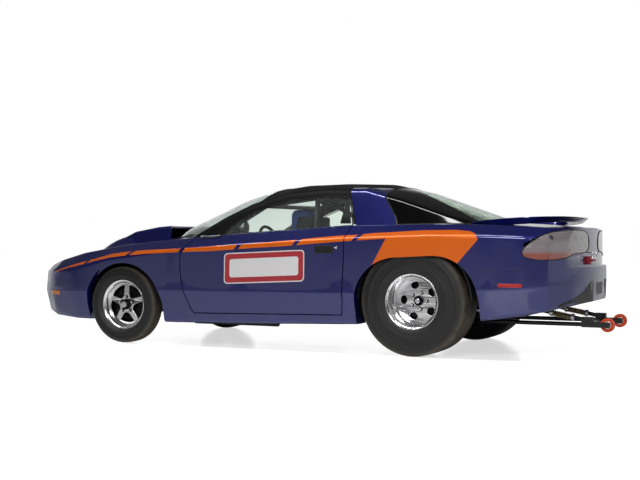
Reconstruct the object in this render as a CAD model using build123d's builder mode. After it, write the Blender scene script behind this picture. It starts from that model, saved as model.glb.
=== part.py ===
"""Drag racing car: a wedge-nosed pony-car coupe converted for the strip.

The car faces +X, its left side is +Y and it stands on z = 0. The origin is on the ground, on the
centre plane, half way between the nose and the rear of the wheelie bar's rollers.
"""

import math
import os

from build123d import *

os.makedirs("parts", exist_ok=True)

# Overall body sizes
body_length = 4828
body_width = 1892
body_height = 1321
wheelbase = 2568
front_overhang = 1083

# Body walls and gaps
side_wall = 62
top_wall = 26
roof_wall = 30
glass_thickness = 5
seal_gap = 0.3
shut_gap = 8
lid_rear_gap = 14
overrun = 400

# Front wheels and tyres
front_tyre_radius = 318
front_tyre_width = 165
front_tread_width = 120
front_rim_width = 115
front_lip_plane = 885
front_disc_inset = 58

# Rear wheels and tyres
rear_tyre_radius = 405
rear_tyre_width = 350
rear_tread_width = 306
rear_rim_width = 332
rear_lip_plane = 905
rear_dish_depth = 170

# Rims
rim_flange_radius = 208
rim_flange_width = 8
rim_barrel_radius = 190
rim_wall = 7
rim_disc_thickness = 14
hub_cap_radius = 38
hub_cap_length = 30
front_hub_radius = 60
front_spoke_root_width = 58
front_spoke_tip_width = 44
front_spoke_count = 5
rear_window_radius = 30
rear_window_circle = 118
rear_window_count = 5

# Wheel openings, measured from each axle
front_arch_ahead = 357
front_arch_behind = 410
front_arch_spring_height = 330
front_arch_crown_height = 665
front_arch_crown_back = 22
rear_arch_ahead = 446
rear_arch_behind = 508
rear_arch_front_height = 712
rear_arch_rear_height = 760
rear_arch_corner = 335
front_well_clearance = 46
rear_well_clearance = 34
well_outer = 916
front_well_inner = 560
tub_inner = 518
tub_outer = 862
tub_wall = 8

# Wheelie bar
roller_reach = 1287
roller_radius = 52
roller_height = 232
roller_track_half = 250
roller_width = 30
roller_pin_radius = 8
roller_pin_clearance = 0.05
wheelie_tube_radius = 16
wheelie_upper_height = 455
wheelie_end_height = 270
wheelie_end_low = 212
wheelie_end_high = 288
wheelie_end_front = 187
wheelie_end_rear = 105
wheelie_plate_thickness = 8
wheelie_plate_half_height = 20
roller_side_gap = 5

# Floor, firewall and tunnel
floor_height = 222
floor_thickness = 18
rear_floor_height = 560
tunnel_half_width = 160
tunnel_height = 215
tunnel_wall = 8
firewall_reach = 430
firewall_top = 800
rear_floor_reach = 2020
rear_floor_setback = 180
rear_floor_half_width = 514
tub_low = 420
tub_slot_half = 60
tub_slot_high = 470
tub_inner_face = 510

# Frame rails and engine
rail_inner = 330
rail_outer = 400
rail_low = 245
rail_high = 325
rail_step_reach = 340
rail_front_reach = 700
horn_low = 275
horn_depth = 50
crossmember_half = 60
crossmember_low = 235
beam_low = 420
beam_high = 520
beam_half_width = 260
hood_post_reach = 600
hood_post_size = 40
rack_radius = 22
rack_reach = 120
rack_height = 262
engine_front_reach = 330
engine_rear_reach = 280
engine_low = 300
engine_high = 750
gearbox_radius = 92
gearbox_reach = 950
gearbox_height = 318
shaft_radius = 40

# Front suspension
kingpin_track_half = 790
kingpin_radius = 18
knuckle_low = 200
knuckle_high = 436
ball_joint_radius = 18
ball_joint_height = 36
arm_radius = 12
arm_spread = 140
upper_arm_spread = 70
lower_arm_height = 262
upper_arm_height = 470
bushing_size = 30
steer_arm_reach = 110
steer_arm_inset = 25
steer_arm_height = 262
spindle_radius = 38
hub_flange_radius = 70
hub_flange_thickness = 12
front_shock_radius = 30
front_shock_foot_track = 600
front_shock_top_track = 470
front_shock_top_drop = 12
shock_rod_radius = 8
tower_height = 700
tower_size = 20
tower_plate_outer = 510
tower_plate_thickness = 12

# Rear axle
axle_tube_radius = 42
axle_case_radius = 125
axle_case_half_width = 120
axle_flange_radius = 85
axle_flange_thickness = 15
ladder_bar_radius = 18
ladder_bar_reach = 520
ladder_bar_end_half = 20
ladder_bar_track_half = 330
ladder_bar_height = 262
ladder_plate_drop = 130
shock_radius = 34
shock_setback = 60
shock_foot_height = 300
shock_track_half = 420
wheelie_bracket_depth = 110
wheelie_bracket_thickness = 16
wheelie_bracket_low = 205
wheelie_bracket_high = 485

# Roll cage
cage_tube_radius = 21
cage_front_radius = 20
cage_brace_radius = 18
cage_joint_radius = 23
cage_hoop_reach = 1620
cage_roof_half_width = 500
cage_floor_half_width = 640
cage_roof_height = 1190
cage_front_reach = 1130
cage_front_half_width = 460
cage_front_height = 1135
cage_dash_reach = 760
cage_dash_half_width = 560
cage_dash_height = 895
cage_foot_reach = 620
cage_foot_size = 45
cage_foot_thickness = 6
cage_stay_reach = 2700
cage_stay_half_width = 400
cage_harness_height = 800
cage_door_bar_height = 430

# Cabin fittings
driver_offset = 350
seat_half_width = 185
seat_front_reach = 1060
seat_bend_reach = 1420
seat_top_reach = 1490
seat_rear_reach = 1575
seat_back_height = 1040
seat_bolster_height = 420
seat_bolster_depth = 80
seat_wall = 40
seat_cushion_height = 330
dash_low = 690
dash_height = 790
dash_margin = 20
dash_rear_reach = 900
dash_cage_gap = 4
steering_wheel_radius = 165
steering_wheel_tube_radius = 13
steering_wheel_reach = 1120
steering_wheel_height = 810
steering_hub_radius = 32
steering_hub_length = 24
steering_spoke_radius = 8
steering_spoke_count = 3
steering_tilt = 22
column_radius = 18
column_flange_half = 30
column_flange_thickness = 8
tachometer_radius = 62
tachometer_length = 120
tachometer_height = 955
tachometer_reach = 780
tachometer_stalk_radius = 12

# Exhausts, spoiler and switch
exhaust_radius = 30
exhaust_track_half = 640
exhaust_front_reach = 560
exhaust_rear_reach = 1334
switch_track = 200
switch_half_width = 28
switch_low = 675
switch_high = 735
switch_depth = 22
switch_handle_radius = 7
switch_handle_length = 55

# Sills and lamps
sill_rise = 78
sill_front = 60
sill_foot_width = 60
lamp_inner = 300
shelf_inner = 560

# Hood scoop
scoop_wall = 14
scoop_foot_radius = 10
scoop_edge_radius = 40

# Places along the car
half_width = body_width / 2
front_axle_x = (wheelbase + roller_reach + roller_radius - front_overhang) / 2
rear_axle_x = front_axle_x - wheelbase
nose_x = front_axle_x + front_overhang
tail_x = nose_x - body_length
roller_x = rear_axle_x - roller_reach

# Body sections, as shares of the body's length, half width and height.
# columns: station from the nose, sill half width, sill height, crease half width, crease height,
# shoulder half width, shoulder height, edge half width, edge height, crown height
hull_section_shares = [
    (0.0000, 0.360, 0.250, 0.400, 0.320, 0.390, 0.410, 0.340, 0.445, 0.455),
    (0.0103, 0.520, 0.205, 0.570, 0.315, 0.555, 0.425, 0.490, 0.462, 0.478),
    (0.0309, 0.700, 0.172, 0.765, 0.315, 0.745, 0.442, 0.650, 0.485, 0.508),
    (0.0638, 0.820, 0.152, 0.882, 0.318, 0.862, 0.448, 0.730, 0.515, 0.548),
    (0.1183, 0.890, 0.140, 0.955, 0.325, 0.935, 0.462, 0.775, 0.562, 0.600),
    (0.2058, 0.925, 0.138, 0.985, 0.335, 0.978, 0.538, 0.800, 0.612, 0.652),
    (0.3293, 0.935, 0.140, 0.998, 0.340, 0.990, 0.590, 0.825, 0.654, 0.695),
    (0.4631, 0.935, 0.148, 1.000, 0.342, 0.990, 0.622, 0.845, 0.690, 0.715),
    (0.6380, 0.935, 0.165, 1.000, 0.345, 0.990, 0.655, 0.850, 0.730, 0.745),
    (0.7820, 0.925, 0.185, 0.998, 0.360, 0.990, 0.672, 0.850, 0.736, 0.752),
    (0.8767, 0.900, 0.215, 0.980, 0.380, 0.968, 0.672, 0.830, 0.730, 0.747),
    (0.9244, 0.865, 0.240, 0.948, 0.392, 0.930, 0.664, 0.800, 0.722, 0.738),
    (0.9600, 0.790, 0.270, 0.865, 0.402, 0.845, 0.652, 0.735, 0.712, 0.728),
    (0.9845, 0.580, 0.292, 0.640, 0.410, 0.625, 0.640, 0.545, 0.705, 0.720),
    (1.0000, 0.260, 0.305, 0.300, 0.415, 0.290, 0.630, 0.250, 0.700, 0.715),
]
hull_corner_radii = (34, 60, 34, 20)

# Cabin sections in the same shares.
# columns: station, base half width, base height, roof edge half width, roof edge height, crown height
canopy_section_shares = [
    (0.2284, 0.320, 0.500, 0.300, 0.590, 0.665),
    (0.2964, 0.700, 0.520, 0.655, 0.635, 0.774),
    (0.3591, 0.846, 0.560, 0.766, 0.682, 0.870),
    (0.4023, 0.848, 0.600, 0.746, 0.765, 0.931),
    (0.4517, 0.850, 0.620, 0.716, 0.850, 0.976),
    (0.5145, 0.852, 0.640, 0.690, 0.926, 0.997),
    (0.5865, 0.852, 0.660, 0.680, 0.948, 1.000),
    (0.6586, 0.842, 0.680, 0.684, 0.943, 0.990),
    (0.7213, 0.822, 0.680, 0.672, 0.878, 0.938),
    (0.7944, 0.786, 0.640, 0.636, 0.787, 0.845),
    (0.8561, 0.720, 0.600, 0.552, 0.725, 0.766),
    (0.9076, 0.640, 0.540, 0.480, 0.655, 0.698),
]
canopy_corner_radius = 62
canopy_foot_radius = 12

# Share of an arched top that is one arc, the rest being straight beside the edges
crown_arc_share = 0.85

# Side view outlines, as shares of the body's length behind the nose and of its height
nose_outline_shares = [
    (-0.05, -0.05), (-0.05, 0.80), (0.0859, 0.80), (0.0859, 0.425), (0.0947, 0.3777), (0.1523, 0.3777),
    (0.1523, -0.05),
]
fender_outline_shares = [
    (0.0859, 0.80), (0.0859, 0.425), (0.0947, 0.3777), (0.1523, 0.3777), (0.1523, 0.05), (0.3155, 0.05),
    (0.3155, 0.1960), (0.3704, 0.2010), (0.3662, 0.2165), (0.3525, 0.3429), (0.3466, 0.4648), (0.3466, 0.5564),
    (0.3544, 0.6170), (0.3576, 0.6560), (0.3576, 0.80),
]
door_outline_shares = [
    (0.3704, 0.2010), (0.6417, 0.2176), (0.6448, 0.3081), (0.6475, 0.5344), (0.6484, 0.6934), (0.6525, 0.80),
    (0.3576, 0.80), (0.3576, 0.6560), (0.3544, 0.6170), (0.3466, 0.5564), (0.3466, 0.4648), (0.3525, 0.3429),
    (0.3662, 0.2165),
]
quarter_outline_shares = [
    (0.3155, 0.05), (0.3155, 0.1960), (0.3704, 0.2010), (0.6417, 0.2176), (0.6448, 0.3081), (0.6475, 0.5344),
    (0.6484, 0.6934), (0.6525, 0.80), (0.9397, 0.80), (0.9397, 0.5647), (0.9290, 0.5382), (0.8230, 0.5300),
    (0.8230, 0.05),
]
rear_outline_shares = [
    (0.8230, 0.05), (0.8230, 0.5300), (0.9290, 0.5382), (0.9397, 0.5647), (0.9397, 0.80), (1.05, 0.80),
    (1.05, 0.05),
]
window_outline_shares = [
    (0.3940, 0.6600), (0.4840, 0.6800), (0.5572, 0.6950), (0.6507, 0.7000), (0.6369, 0.8950), (0.6235, 0.9069),
    (0.5932, 0.9084), (0.5243, 0.8895), (0.4907, 0.8600), (0.4605, 0.8191), (0.4298, 0.7585),
]
sail_outline_shares = [
    (0.6560, 0.7005), (0.6315, 0.9560), (0.6844, 0.9560), (0.6928, 0.8902), (0.7148, 0.7744), (0.7214, 0.7000),
]
shelf_outline_shares = [(0.6560, 0.6400), (0.6560, 0.8000), (0.8230, 0.8000), (0.8230, 0.6400)]
roof_outline_shares = [
    (0.3300, 0.6000), (0.3300, 1.10), (0.6833, 1.10), (0.6844, 0.9560), (0.6315, 0.9560), (0.6525, 0.7370),
    (0.5572, 0.7170), (0.4840, 0.7010), (0.3910, 0.6800),
]
hatch_glass_outline_shares = [
    (0.6848, 1.10), (0.6858, 0.9553), (0.6943, 0.8902), (0.7163, 0.7744), (0.7203, 0.7360), (0.7820, 0.7400),
    (0.8600, 0.7400), (0.8600, 1.10),
]
windshield_outline_shares = [
    (0.2200, 0.6600), (0.3200, 0.6600), (0.3600, 0.6750), (0.4800, 0.8000), (0.4800, 1.10), (0.2200, 1.10),
]
lamp_outline_shares = [
    (0.9260, 0.6275), (0.9560, 0.6904), (0.9800, 0.7000), (1.0500, 0.6900), (1.0500, 0.5950), (0.9800, 0.5850),
    (0.9540, 0.5435), (0.9330, 0.5534),
]

# Top view outlines, as shares of the body's length behind the nose and of its half width
hood_outline_shares = [(0.0859, 0.640), (0.1440, 0.700), (0.3070, 0.745)]
hood_rear_share = 0.2350
cowl_outline_shares = [(0.3070, 0.750), (0.3576, 0.780)]
windshield_plan_shares = [
    (0.2385, 0.080), (0.2470, 0.250), (0.2660, 0.450), (0.2990, 0.660), (0.3490, 0.748), (0.4023, 0.700),
    (0.4670, 0.655),
]
deck_outline_shares = [(0.8560, 0.743), (0.9380, 0.743), (0.9420, 0.690), (0.9640, 0.600)]
spoiler_outline_shares = [(0.9037, 0.7240), (0.9327, 0.7721), (0.9741, 0.7805), (0.9741, 0.7456),
                          (0.9493, 0.7330)]
spoiler_side_share = 0.9575
spoiler_tip_share = 0.9741
spoiler_breadth_share = 0.7350

# Hood scoop sections.
# columns: station, foot half width, top edge half width, height
scoop_section_shares = [
    (0.0940, 0.330, 0.280, 0.560),
    (0.1200, 0.345, 0.300, 0.640),
    (0.1640, 0.370, 0.320, 0.705),
    (0.2180, 0.400, 0.345, 0.735),
    (0.2440, 0.410, 0.355, 0.741),
    (0.2700, 0.415, 0.360, 0.741),
]
scoop_foot_share = 0.500

# Tail above the bumper, as a share of the body's height, and how far it stands in from the bumper
ledge_height_share = 0.500
ledge_side_share = 0.9642
beyond_tail_share = 1.05
ledge_depth = 42
underside_rear_share = 0.9550


def at(station, height):
    """Gives a point of the side view from shares of the body's length and height."""
    return (nose_x - station * body_length, height * body_height)


def plan(station, breadth):
    """Gives a point of the top view from shares of the body's length and half width."""
    return (nose_x - station * body_length, breadth * half_width)


def side_view(shares):
    """Turns a table of side view shares into points."""
    return [at(station, height) for station, height in shares]


def section_plane(x):
    """Gives the upright plane across the car at x, with the sketch's axes to the left and up."""
    return Plane((x, 0, 0), x_dir=(0, 1, 0), z_dir=(1, 0, 0))


def rounded(corners):
    """Draws a closed outline from corners given as (across, up, radius)."""
    rims = []
    for number, (across, up, radius) in enumerate(corners):
        corner = Vector(across, up)
        before = (Vector(*corners[number - 1][:2]) - corner).normalized()
        after = (Vector(*corners[(number + 1) % len(corners)][:2]) - corner).normalized()
        half_angle = math.radians(before.get_angle(after)) / 2
        reach = radius / math.tan(half_angle)
        inward = (before + after).normalized()
        crown = corner + inward * (radius / math.sin(half_angle) - radius)
        rims.append((corner + before * reach, crown, corner + after * reach))
    for number, (start, crown, end) in enumerate(rims):
        Line(rims[number - 1][2], start)
        ThreePointArc(start, crown, end)


def arched(left, z_crown):
    """Closes a left half outline over an arched top that rises to z_crown and mirrors it."""
    y_edge, z_edge = left[-1][:2]
    rise = (z_crown - z_edge) / (1 - crown_arc_share / 2)
    radius = crown_arc_share * y_edge * math.hypot(y_edge, rise) / rise
    right = [(-y, z, r) for y, z, r in reversed(left)]
    rounded(left + [(0, z_edge + rise, radius)] + right)


def hull(inset, top_inset):
    """Lofts the body below the windows, moved inwards by the insets."""
    middle_x = (nose_x + tail_x) / 2
    with BuildPart() as lofted:
        for row in hull_section_shares:
            station, y_sill, z_sill, y_crease, z_crease, y_shoulder, z_shoulder, y_edge, z_edge, z_crown = row
            x = middle_x + (nose_x - station * body_length - middle_x) * (1 - 2 * inset / body_length)
            corners = [
                (y_sill * half_width - inset, z_sill * body_height + inset),
                (y_crease * half_width - inset, z_crease * body_height),
                (y_shoulder * half_width - inset, z_shoulder * body_height - top_inset / 2),
                (y_edge * half_width - inset / 2, z_edge * body_height - top_inset),
            ]
            left = [(y, z, radius) for (y, z), radius in zip(corners, hull_corner_radii)]
            with BuildSketch(section_plane(x)):
                with BuildLine():
                    arched(left, z_crown * body_height - top_inset)
                make_face()
        loft(ruled=True)
    return lofted.part


def canopy(inset):
    """Lofts the windows and roof, moved inwards by the inset and then longer and deeper by twice it."""
    last = len(canopy_section_shares) - 1
    with BuildPart() as lofted:
        for number, row in enumerate(canopy_section_shares):
            station, y_base, z_base, y_roof, z_roof, z_crown = row
            x = nose_x - station * body_length
            if number == 0:
                x += 2 * inset
            if number == last:
                x -= 2 * inset
            left = [
                (y_base * half_width - inset, z_base * body_height - 2 * inset, canopy_foot_radius),
                (y_roof * half_width - inset, z_roof * body_height - inset, canopy_corner_radius - inset),
            ]
            with BuildSketch(section_plane(x)):
                with BuildLine():
                    arched(left, z_crown * body_height - inset)
                make_face()
        loft(ruled=True)
    return lofted.part


def side_block(outline, near, far, mode=Mode.ADD, shrink=0):
    """Extrudes a side view outline between two distances off the centre plane."""
    with BuildSketch(Plane.XZ.offset(-near)) as face:
        with BuildLine():
            Polyline(*outline, close=True)
        make_face()
        if shrink:
            offset(amount=-shrink, kind=Kind.INTERSECTION, mode=Mode.REPLACE)
    extrude(face.sketch, amount=near - far, mode=mode)


def plan_block(outline, low, high, mode=Mode.ADD):
    """Extrudes a top view outline between two heights."""
    with BuildSketch(Plane.XY.offset(low)) as face:
        with BuildLine():
            Polyline(*outline, close=True)
        make_face()
    extrude(face.sketch, amount=high - low, mode=mode)


def mirrored_plan(shares, gap=0):
    """Turns one side's table of top view shares into a closed, mirrored outline widened by a gap."""
    left = [plan(station, breadth) for station, breadth in shares]
    left = [(x, y + gap) for x, y in left]
    return left + [(x, -y) for x, y in reversed(left)]


def bar(start, end, radius, mode=Mode.ADD):
    """Adds a round bar between two points."""
    run = Vector(end) - Vector(start)
    with BuildSketch(Plane(start, z_dir=run)) as face:
        Circle(radius)
    extrude(face.sketch, amount=run.length, mode=mode)


def block(low, high, mode=Mode.ADD):
    """Adds a plain box between two corners."""
    size = [b - a for a, b in zip(low, high)]
    middle = tuple((a + b) / 2 for a, b in zip(low, high))
    with Locations(middle):
        Box(*size, mode=mode)


def save(piece, name):
    """Labels a finished piece and writes it."""
    piece.part.label = name
    export_step(piece.part, f"parts/{name}.step")


def save_pair(piece, name):
    """Writes a left piece and its mirror image."""
    save(piece, name + "_left")
    with BuildPart() as other:
        mirror(piece.part, about=Plane.XZ)
    save(other, name + "_right")


def front_wheel_opening(near, far):
    """Cuts the left front wheel's opening and the room behind it."""
    ahead_x = front_axle_x + front_arch_ahead
    behind_x = front_axle_x - front_arch_behind
    with BuildSketch(Plane.XZ.offset(-near)) as opening:
        with BuildLine():
            Polyline(
                (behind_x, front_arch_spring_height), (behind_x, -overrun),
                (ahead_x, -overrun), (ahead_x, front_arch_spring_height),
            )
            ThreePointArc(
                (ahead_x, front_arch_spring_height),
                (front_axle_x - front_arch_crown_back, front_arch_crown_height),
                (behind_x, front_arch_spring_height),
            )
        make_face()
    extrude(opening.sketch, amount=near - far, mode=Mode.SUBTRACT)
    bar(
        (front_axle_x, near, front_tyre_radius), (front_axle_x, well_outer, front_tyre_radius),
        front_tyre_radius + front_well_clearance, Mode.SUBTRACT,
    )


def rear_wheel_opening(near, far):
    """Cuts the left rear wheel's opening and the room behind it."""
    ahead_x = rear_axle_x + rear_arch_ahead
    behind_x = rear_axle_x - rear_arch_behind
    with BuildSketch(Plane.XZ.offset(-near)) as opening:
        with BuildLine():
            rounded([
                (ahead_x, -overrun, shut_gap), (ahead_x, rear_arch_front_height, rear_arch_corner),
                (behind_x, rear_arch_rear_height, rear_arch_corner), (behind_x, -overrun, shut_gap),
            ])
        make_face()
    extrude(opening.sketch, amount=near - far, mode=Mode.SUBTRACT)
    bar(
        (rear_axle_x, near, rear_tyre_radius), (rear_axle_x, well_outer, rear_tyre_radius),
        rear_tyre_radius + rear_well_clearance, Mode.SUBTRACT,
    )


def wheel_plane(x, y, height):
    """Gives the plane of a wheel's face, looking out along +Y from the place given."""
    return Plane((x, y, height), x_dir=(1, 0, 0), z_dir=(0, 1, 0))


def disc(x, height, near, far, radius, mode=Mode.ADD):
    """Adds a round disc or tube on an axle that runs across the car."""
    bar((x, near, height), (x, far, height), radius, mode)


def tyre(x, radius, middle, width, tread_width, rim_width):
    """Revolves a slick tyre's plain ring about its axle."""
    barrel = rim_barrel_radius + seal_gap
    bead = rim_flange_radius + seal_gap
    seat = rim_width / 2 - rim_flange_width - seal_gap
    wall_radius = (radius + rim_flange_radius) / 2
    side = [(seat, barrel), (seat, bead), (width / 2, wall_radius), (tread_width / 2, radius)]
    outline = side + [(-across, up) for across, up in reversed(side)]
    with BuildSketch(Plane((x, middle, radius), x_dir=(0, 1, 0), z_dir=(1, 0, 0))) as face:
        with BuildLine():
            Polyline(*outline, close=True)
        make_face()
    revolve(face.sketch, axis=Axis((x, middle, radius), (0, 1, 0)))


def barrel(x, radius, lip, rim_width):
    """Makes a rim's barrel with its two flanges."""
    disc(x, radius, lip - rim_width, lip, rim_barrel_radius)
    disc(x, radius, lip - rim_flange_width, lip, rim_flange_radius)
    disc(x, radius, lip - rim_width, lip - rim_width + rim_flange_width, rim_flange_radius)
    disc(x, radius, lip - rim_width, lip, rim_barrel_radius - rim_wall, Mode.SUBTRACT)


def foot(x, y, height):
    """Adds a plate that a cage tube stands on."""
    block((x - cage_foot_size, y - cage_foot_size, height),
          (x + cage_foot_size, y + cage_foot_size, height + cage_foot_thickness))


# The body's wall, the roof's wall and the glass, which the panels below are cut from
cabin_side = cowl_outline_shares[0][1] * half_width
side_reach = half_width + overrun
outer_hull = hull(0, 0)
inner_hull = hull(side_wall, top_wall)
outer_canopy = canopy(0)


def tail_block(gap, mode):
    """Works on the room behind the upper tail, which stands in from the bumper."""
    side_x, side_y = plan(ledge_side_share, 1)
    far_x = nose_x - beyond_tail_share * body_length
    with BuildSketch(Plane.XY.offset(ledge_height_share * body_height)) as face:
        with BuildLine():
            arc = ThreePointArc(
                (side_x - gap, side_y), (tail_x + ledge_depth - gap, 0), (side_x - gap, -side_y),
            )
            Polyline(arc @ 1, (far_x, -side_y), (far_x, side_y), arc @ 0)
        make_face()
    extrude(face.sketch, amount=body_height, mode=mode)


with BuildPart() as hull_shell:
    add(outer_hull)
    add(inner_hull, mode=Mode.SUBTRACT)
    tail_block(0, Mode.SUBTRACT)
with BuildPart() as roof_shell:
    add(outer_canopy)
    add(canopy(roof_wall), mode=Mode.SUBTRACT)
with BuildPart() as glass_shell:
    add(outer_canopy)
    add(canopy(glass_thickness), mode=Mode.SUBTRACT)

# The same body a hair larger and a hair smaller, to seat the pieces that lie on it or inside it
hull_over = hull(-seal_gap, -seal_gap)
hull_under = hull(side_wall + seal_gap, top_wall + seal_gap)

# Hood with its rear-facing scoop
hood_rear_x = nose_x - hood_rear_share * body_length
hood_corner_x, hood_corner_y = plan(*hood_outline_shares[-1])
hood_arc_rise = hood_rear_x - hood_corner_x
hood_arc_radius = (hood_corner_y ** 2 + hood_arc_rise ** 2) / (2 * hood_arc_rise)
hood_low = body_height / 3


def hood_arc(y, gap):
    """Draws the arc along the hood's rear edge, out to y and a gap behind it."""
    radius = hood_arc_radius - gap
    centre_x = hood_rear_x - hood_arc_radius
    end_x = centre_x + math.sqrt(radius ** 2 - y ** 2)
    return ThreePointArc((end_x, y), (centre_x + radius, 0), (end_x, -y))


def hood_block(gap, mode=Mode.ADD):
    """Works on the hood's place, with its rear edge curved along the windshield."""
    left = [plan(station, breadth) for station, breadth in hood_outline_shares]
    left = [(x, y + gap) for x, y in left]
    left[0] = (left[0][0] + gap, left[0][1])
    with BuildSketch(Plane.XY.offset(hood_low)) as face:
        with BuildLine():
            rear = hood_arc(left[-1][1], gap)
            Polyline(rear @ 1, *[(x, -y) for x, y in reversed(left[:-1])], *left[:-1], rear @ 0)
        make_face()
    extrude(face.sketch, amount=body_height, mode=mode)


def scoop(inset):
    """Lofts the scoop, moved inwards by the inset."""
    with BuildPart() as lofted:
        for station, y_foot, y_edge, height in scoop_section_shares:
            foot_z = scoop_foot_share * body_height
            edge_z = height * body_height - inset
            left = [
                (y_foot * half_width - inset, foot_z, scoop_foot_radius),
                (y_edge * half_width - inset, edge_z, scoop_edge_radius),
            ]
            with BuildSketch(section_plane(nose_x - station * body_length)):
                with BuildLine():
                    rounded(left + [(-y, z, radius) for y, z, radius in reversed(left)])
                make_face()
        loft(ruled=True)
    return lofted.part


with BuildPart() as hood:
    add(scoop(0))
    add(inner_hull, mode=Mode.SUBTRACT)
    add(hull_shell.part)
    hood_block(0, Mode.INTERSECT)
    add(scoop(scoop_wall), mode=Mode.SUBTRACT)
save(hood, "hood")

# Cowl between the hood and the windshield
cowl_front, cowl_rear = [plan(station, breadth) for station, breadth in cowl_outline_shares]


def cowl_block(gap, mode=Mode.ADD):
    """Works on the cowl's place."""
    rear_y = cowl_rear[1] + gap
    with BuildSketch(Plane.XY.offset(hood_low)) as face:
        with BuildLine():
            arc = hood_arc(cowl_front[1] + gap, shut_gap - gap)
            Polyline(arc @ 1, (cowl_rear[0], -rear_y), (cowl_rear[0], rear_y), arc @ 0)
        make_face()
    extrude(face.sketch, amount=body_height, mode=mode)


with BuildPart() as cowl:
    cowl_block(0)
    add(hull_shell.part, mode=Mode.INTERSECT)
save(cowl, "cowl_panel")

# Nose cover with the bumper
with BuildPart() as nose_half:
    side_block(side_view(nose_outline_shares), 0, side_reach)
    add(hull_shell.part, mode=Mode.INTERSECT)
    hood_block(shut_gap, Mode.SUBTRACT)
    front_wheel_opening(front_well_inner, side_reach)
with BuildPart() as nose_cover:
    add(nose_half.part)
    mirror(about=Plane.XZ)
save(nose_cover, "nose_cover")

# Fenders
firewall_x = front_axle_x - firewall_reach
with BuildPart() as fender:
    side_block(side_view(fender_outline_shares), front_well_inner, side_reach)
    add(hull_shell.part, mode=Mode.INTERSECT)
    hood_block(shut_gap, Mode.SUBTRACT)
    cowl_block(seal_gap, Mode.SUBTRACT)
    front_wheel_opening(front_well_inner, side_reach)
    block((firewall_x - overrun, 0, 0), (front_axle_x, cabin_side, body_height / 2), Mode.SUBTRACT)
save_pair(fender, "fender")

# Doors and their glass
with BuildPart() as door:
    side_block(side_view(door_outline_shares), cabin_side, side_reach, shrink=shut_gap)
    add(hull_shell.part, mode=Mode.INTERSECT)
save_pair(door, "door")
with BuildPart() as door_glass:
    side_block(side_view(window_outline_shares), cabin_side / 2, side_reach, shrink=shut_gap)
    add(glass_shell.part, mode=Mode.INTERSECT)
    add(hull_over, mode=Mode.SUBTRACT)
save_pair(door_glass, "door_glass")

# Quarter panels with the rockers, the sail panels behind the doors and the sills the doors close on
floor_top = floor_height + floor_thickness
sill_top = floor_height + sill_rise
sill_rear_x = front_axle_x - rear_floor_reach
sill_front_x = firewall_x - sill_front
with BuildPart() as sill:
    block((sill_rear_x, cabin_side, floor_top), (sill_front_x, half_width, sill_top))
    add(hull_under, mode=Mode.INTERSECT)
    block((sill_rear_x, cabin_side, floor_top), (sill_front_x, cabin_side + sill_foot_width, sill_top))
with BuildPart() as sail:
    side_block(side_view(sail_outline_shares), cabin_side / 2, side_reach)
    add(roof_shell.part, mode=Mode.INTERSECT)
with BuildPart() as quarter:
    side_block(side_view(quarter_outline_shares), cabin_side, side_reach)
    side_block(side_view(shelf_outline_shares), shelf_inner, side_reach)
    add(hull_shell.part, mode=Mode.INTERSECT)
    rear_wheel_opening(cabin_side, side_reach)
    side_block(side_view(lamp_outline_shares), cabin_side / 2, side_reach, Mode.SUBTRACT)
    add(sail.part)
    add(sill.part)
save_pair(quarter, "quarter_panel")

# Rear cover with the bumper, and the tail lamps let into it
deck_low = ledge_height_share * body_height
deck_left = [plan(station, breadth) for station, breadth in deck_outline_shares]
deck_hole = [(deck_left[0][0] + shut_gap, 0), (deck_left[0][0] + shut_gap, deck_left[0][1] + shut_gap)]
deck_hole += [(x - shut_gap, y + shut_gap) for x, y in deck_left[1:-1]]
deck_hole += [(deck_left[-1][0] - lid_rear_gap, deck_left[-1][1] + shut_gap),
              (deck_left[-1][0] - lid_rear_gap, 0)]
with BuildPart() as lamp:
    side_block(side_view(lamp_outline_shares), lamp_inner, side_reach, shrink=seal_gap)
    add(hull_shell.part, mode=Mode.INTERSECT)
    plan_block(deck_hole, deck_low, body_height, Mode.SUBTRACT)
with BuildPart() as lamps:
    add(lamp.part)
    mirror(about=Plane.XZ)
save(lamps, "tail_lamps")
with BuildPart() as rear_half:
    side_block(side_view(rear_outline_shares), 0, side_reach)
    add(hull_shell.part, mode=Mode.INTERSECT)
    side_block(side_view(lamp_outline_shares), lamp_inner, side_reach, Mode.SUBTRACT)
    rear_wheel_opening(tub_inner, side_reach)
    plan_block(deck_hole, deck_low, body_height, Mode.SUBTRACT)
    block((nose_x - underside_rear_share * body_length, 0, 0),
          (rear_axle_x, tub_inner, rear_floor_height), Mode.SUBTRACT)
with BuildPart() as rear_cover:
    add(rear_half.part)
    mirror(about=Plane.XZ)
save(rear_cover, "rear_cover")

# Roof with the pillars
with BuildPart() as roof:
    side_block(side_view(roof_outline_shares), -side_reach, side_reach)
    add(roof_shell.part, mode=Mode.INTERSECT)
    side_block(side_view(window_outline_shares), cabin_side / 2, side_reach, Mode.SUBTRACT)
    side_block(side_view(window_outline_shares), -side_reach, -cabin_side / 2, Mode.SUBTRACT)
    plan_block(mirrored_plan(windshield_plan_shares, seal_gap), hood_low, body_height + overrun, Mode.SUBTRACT)
    add(hull_over, mode=Mode.SUBTRACT)
with BuildPart() as door_room:
    side_block(side_view(door_outline_shares), cabin_side / 2, side_reach)
    side_block(side_view(door_outline_shares), -side_reach, -cabin_side / 2)
    add(hull(-shut_gap, -shut_gap), mode=Mode.INTERSECT)
with BuildPart() as roof_panel:
    add(roof.part)
    add(door_room.part, mode=Mode.SUBTRACT)
save(roof_panel, "roof_panel")

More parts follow.
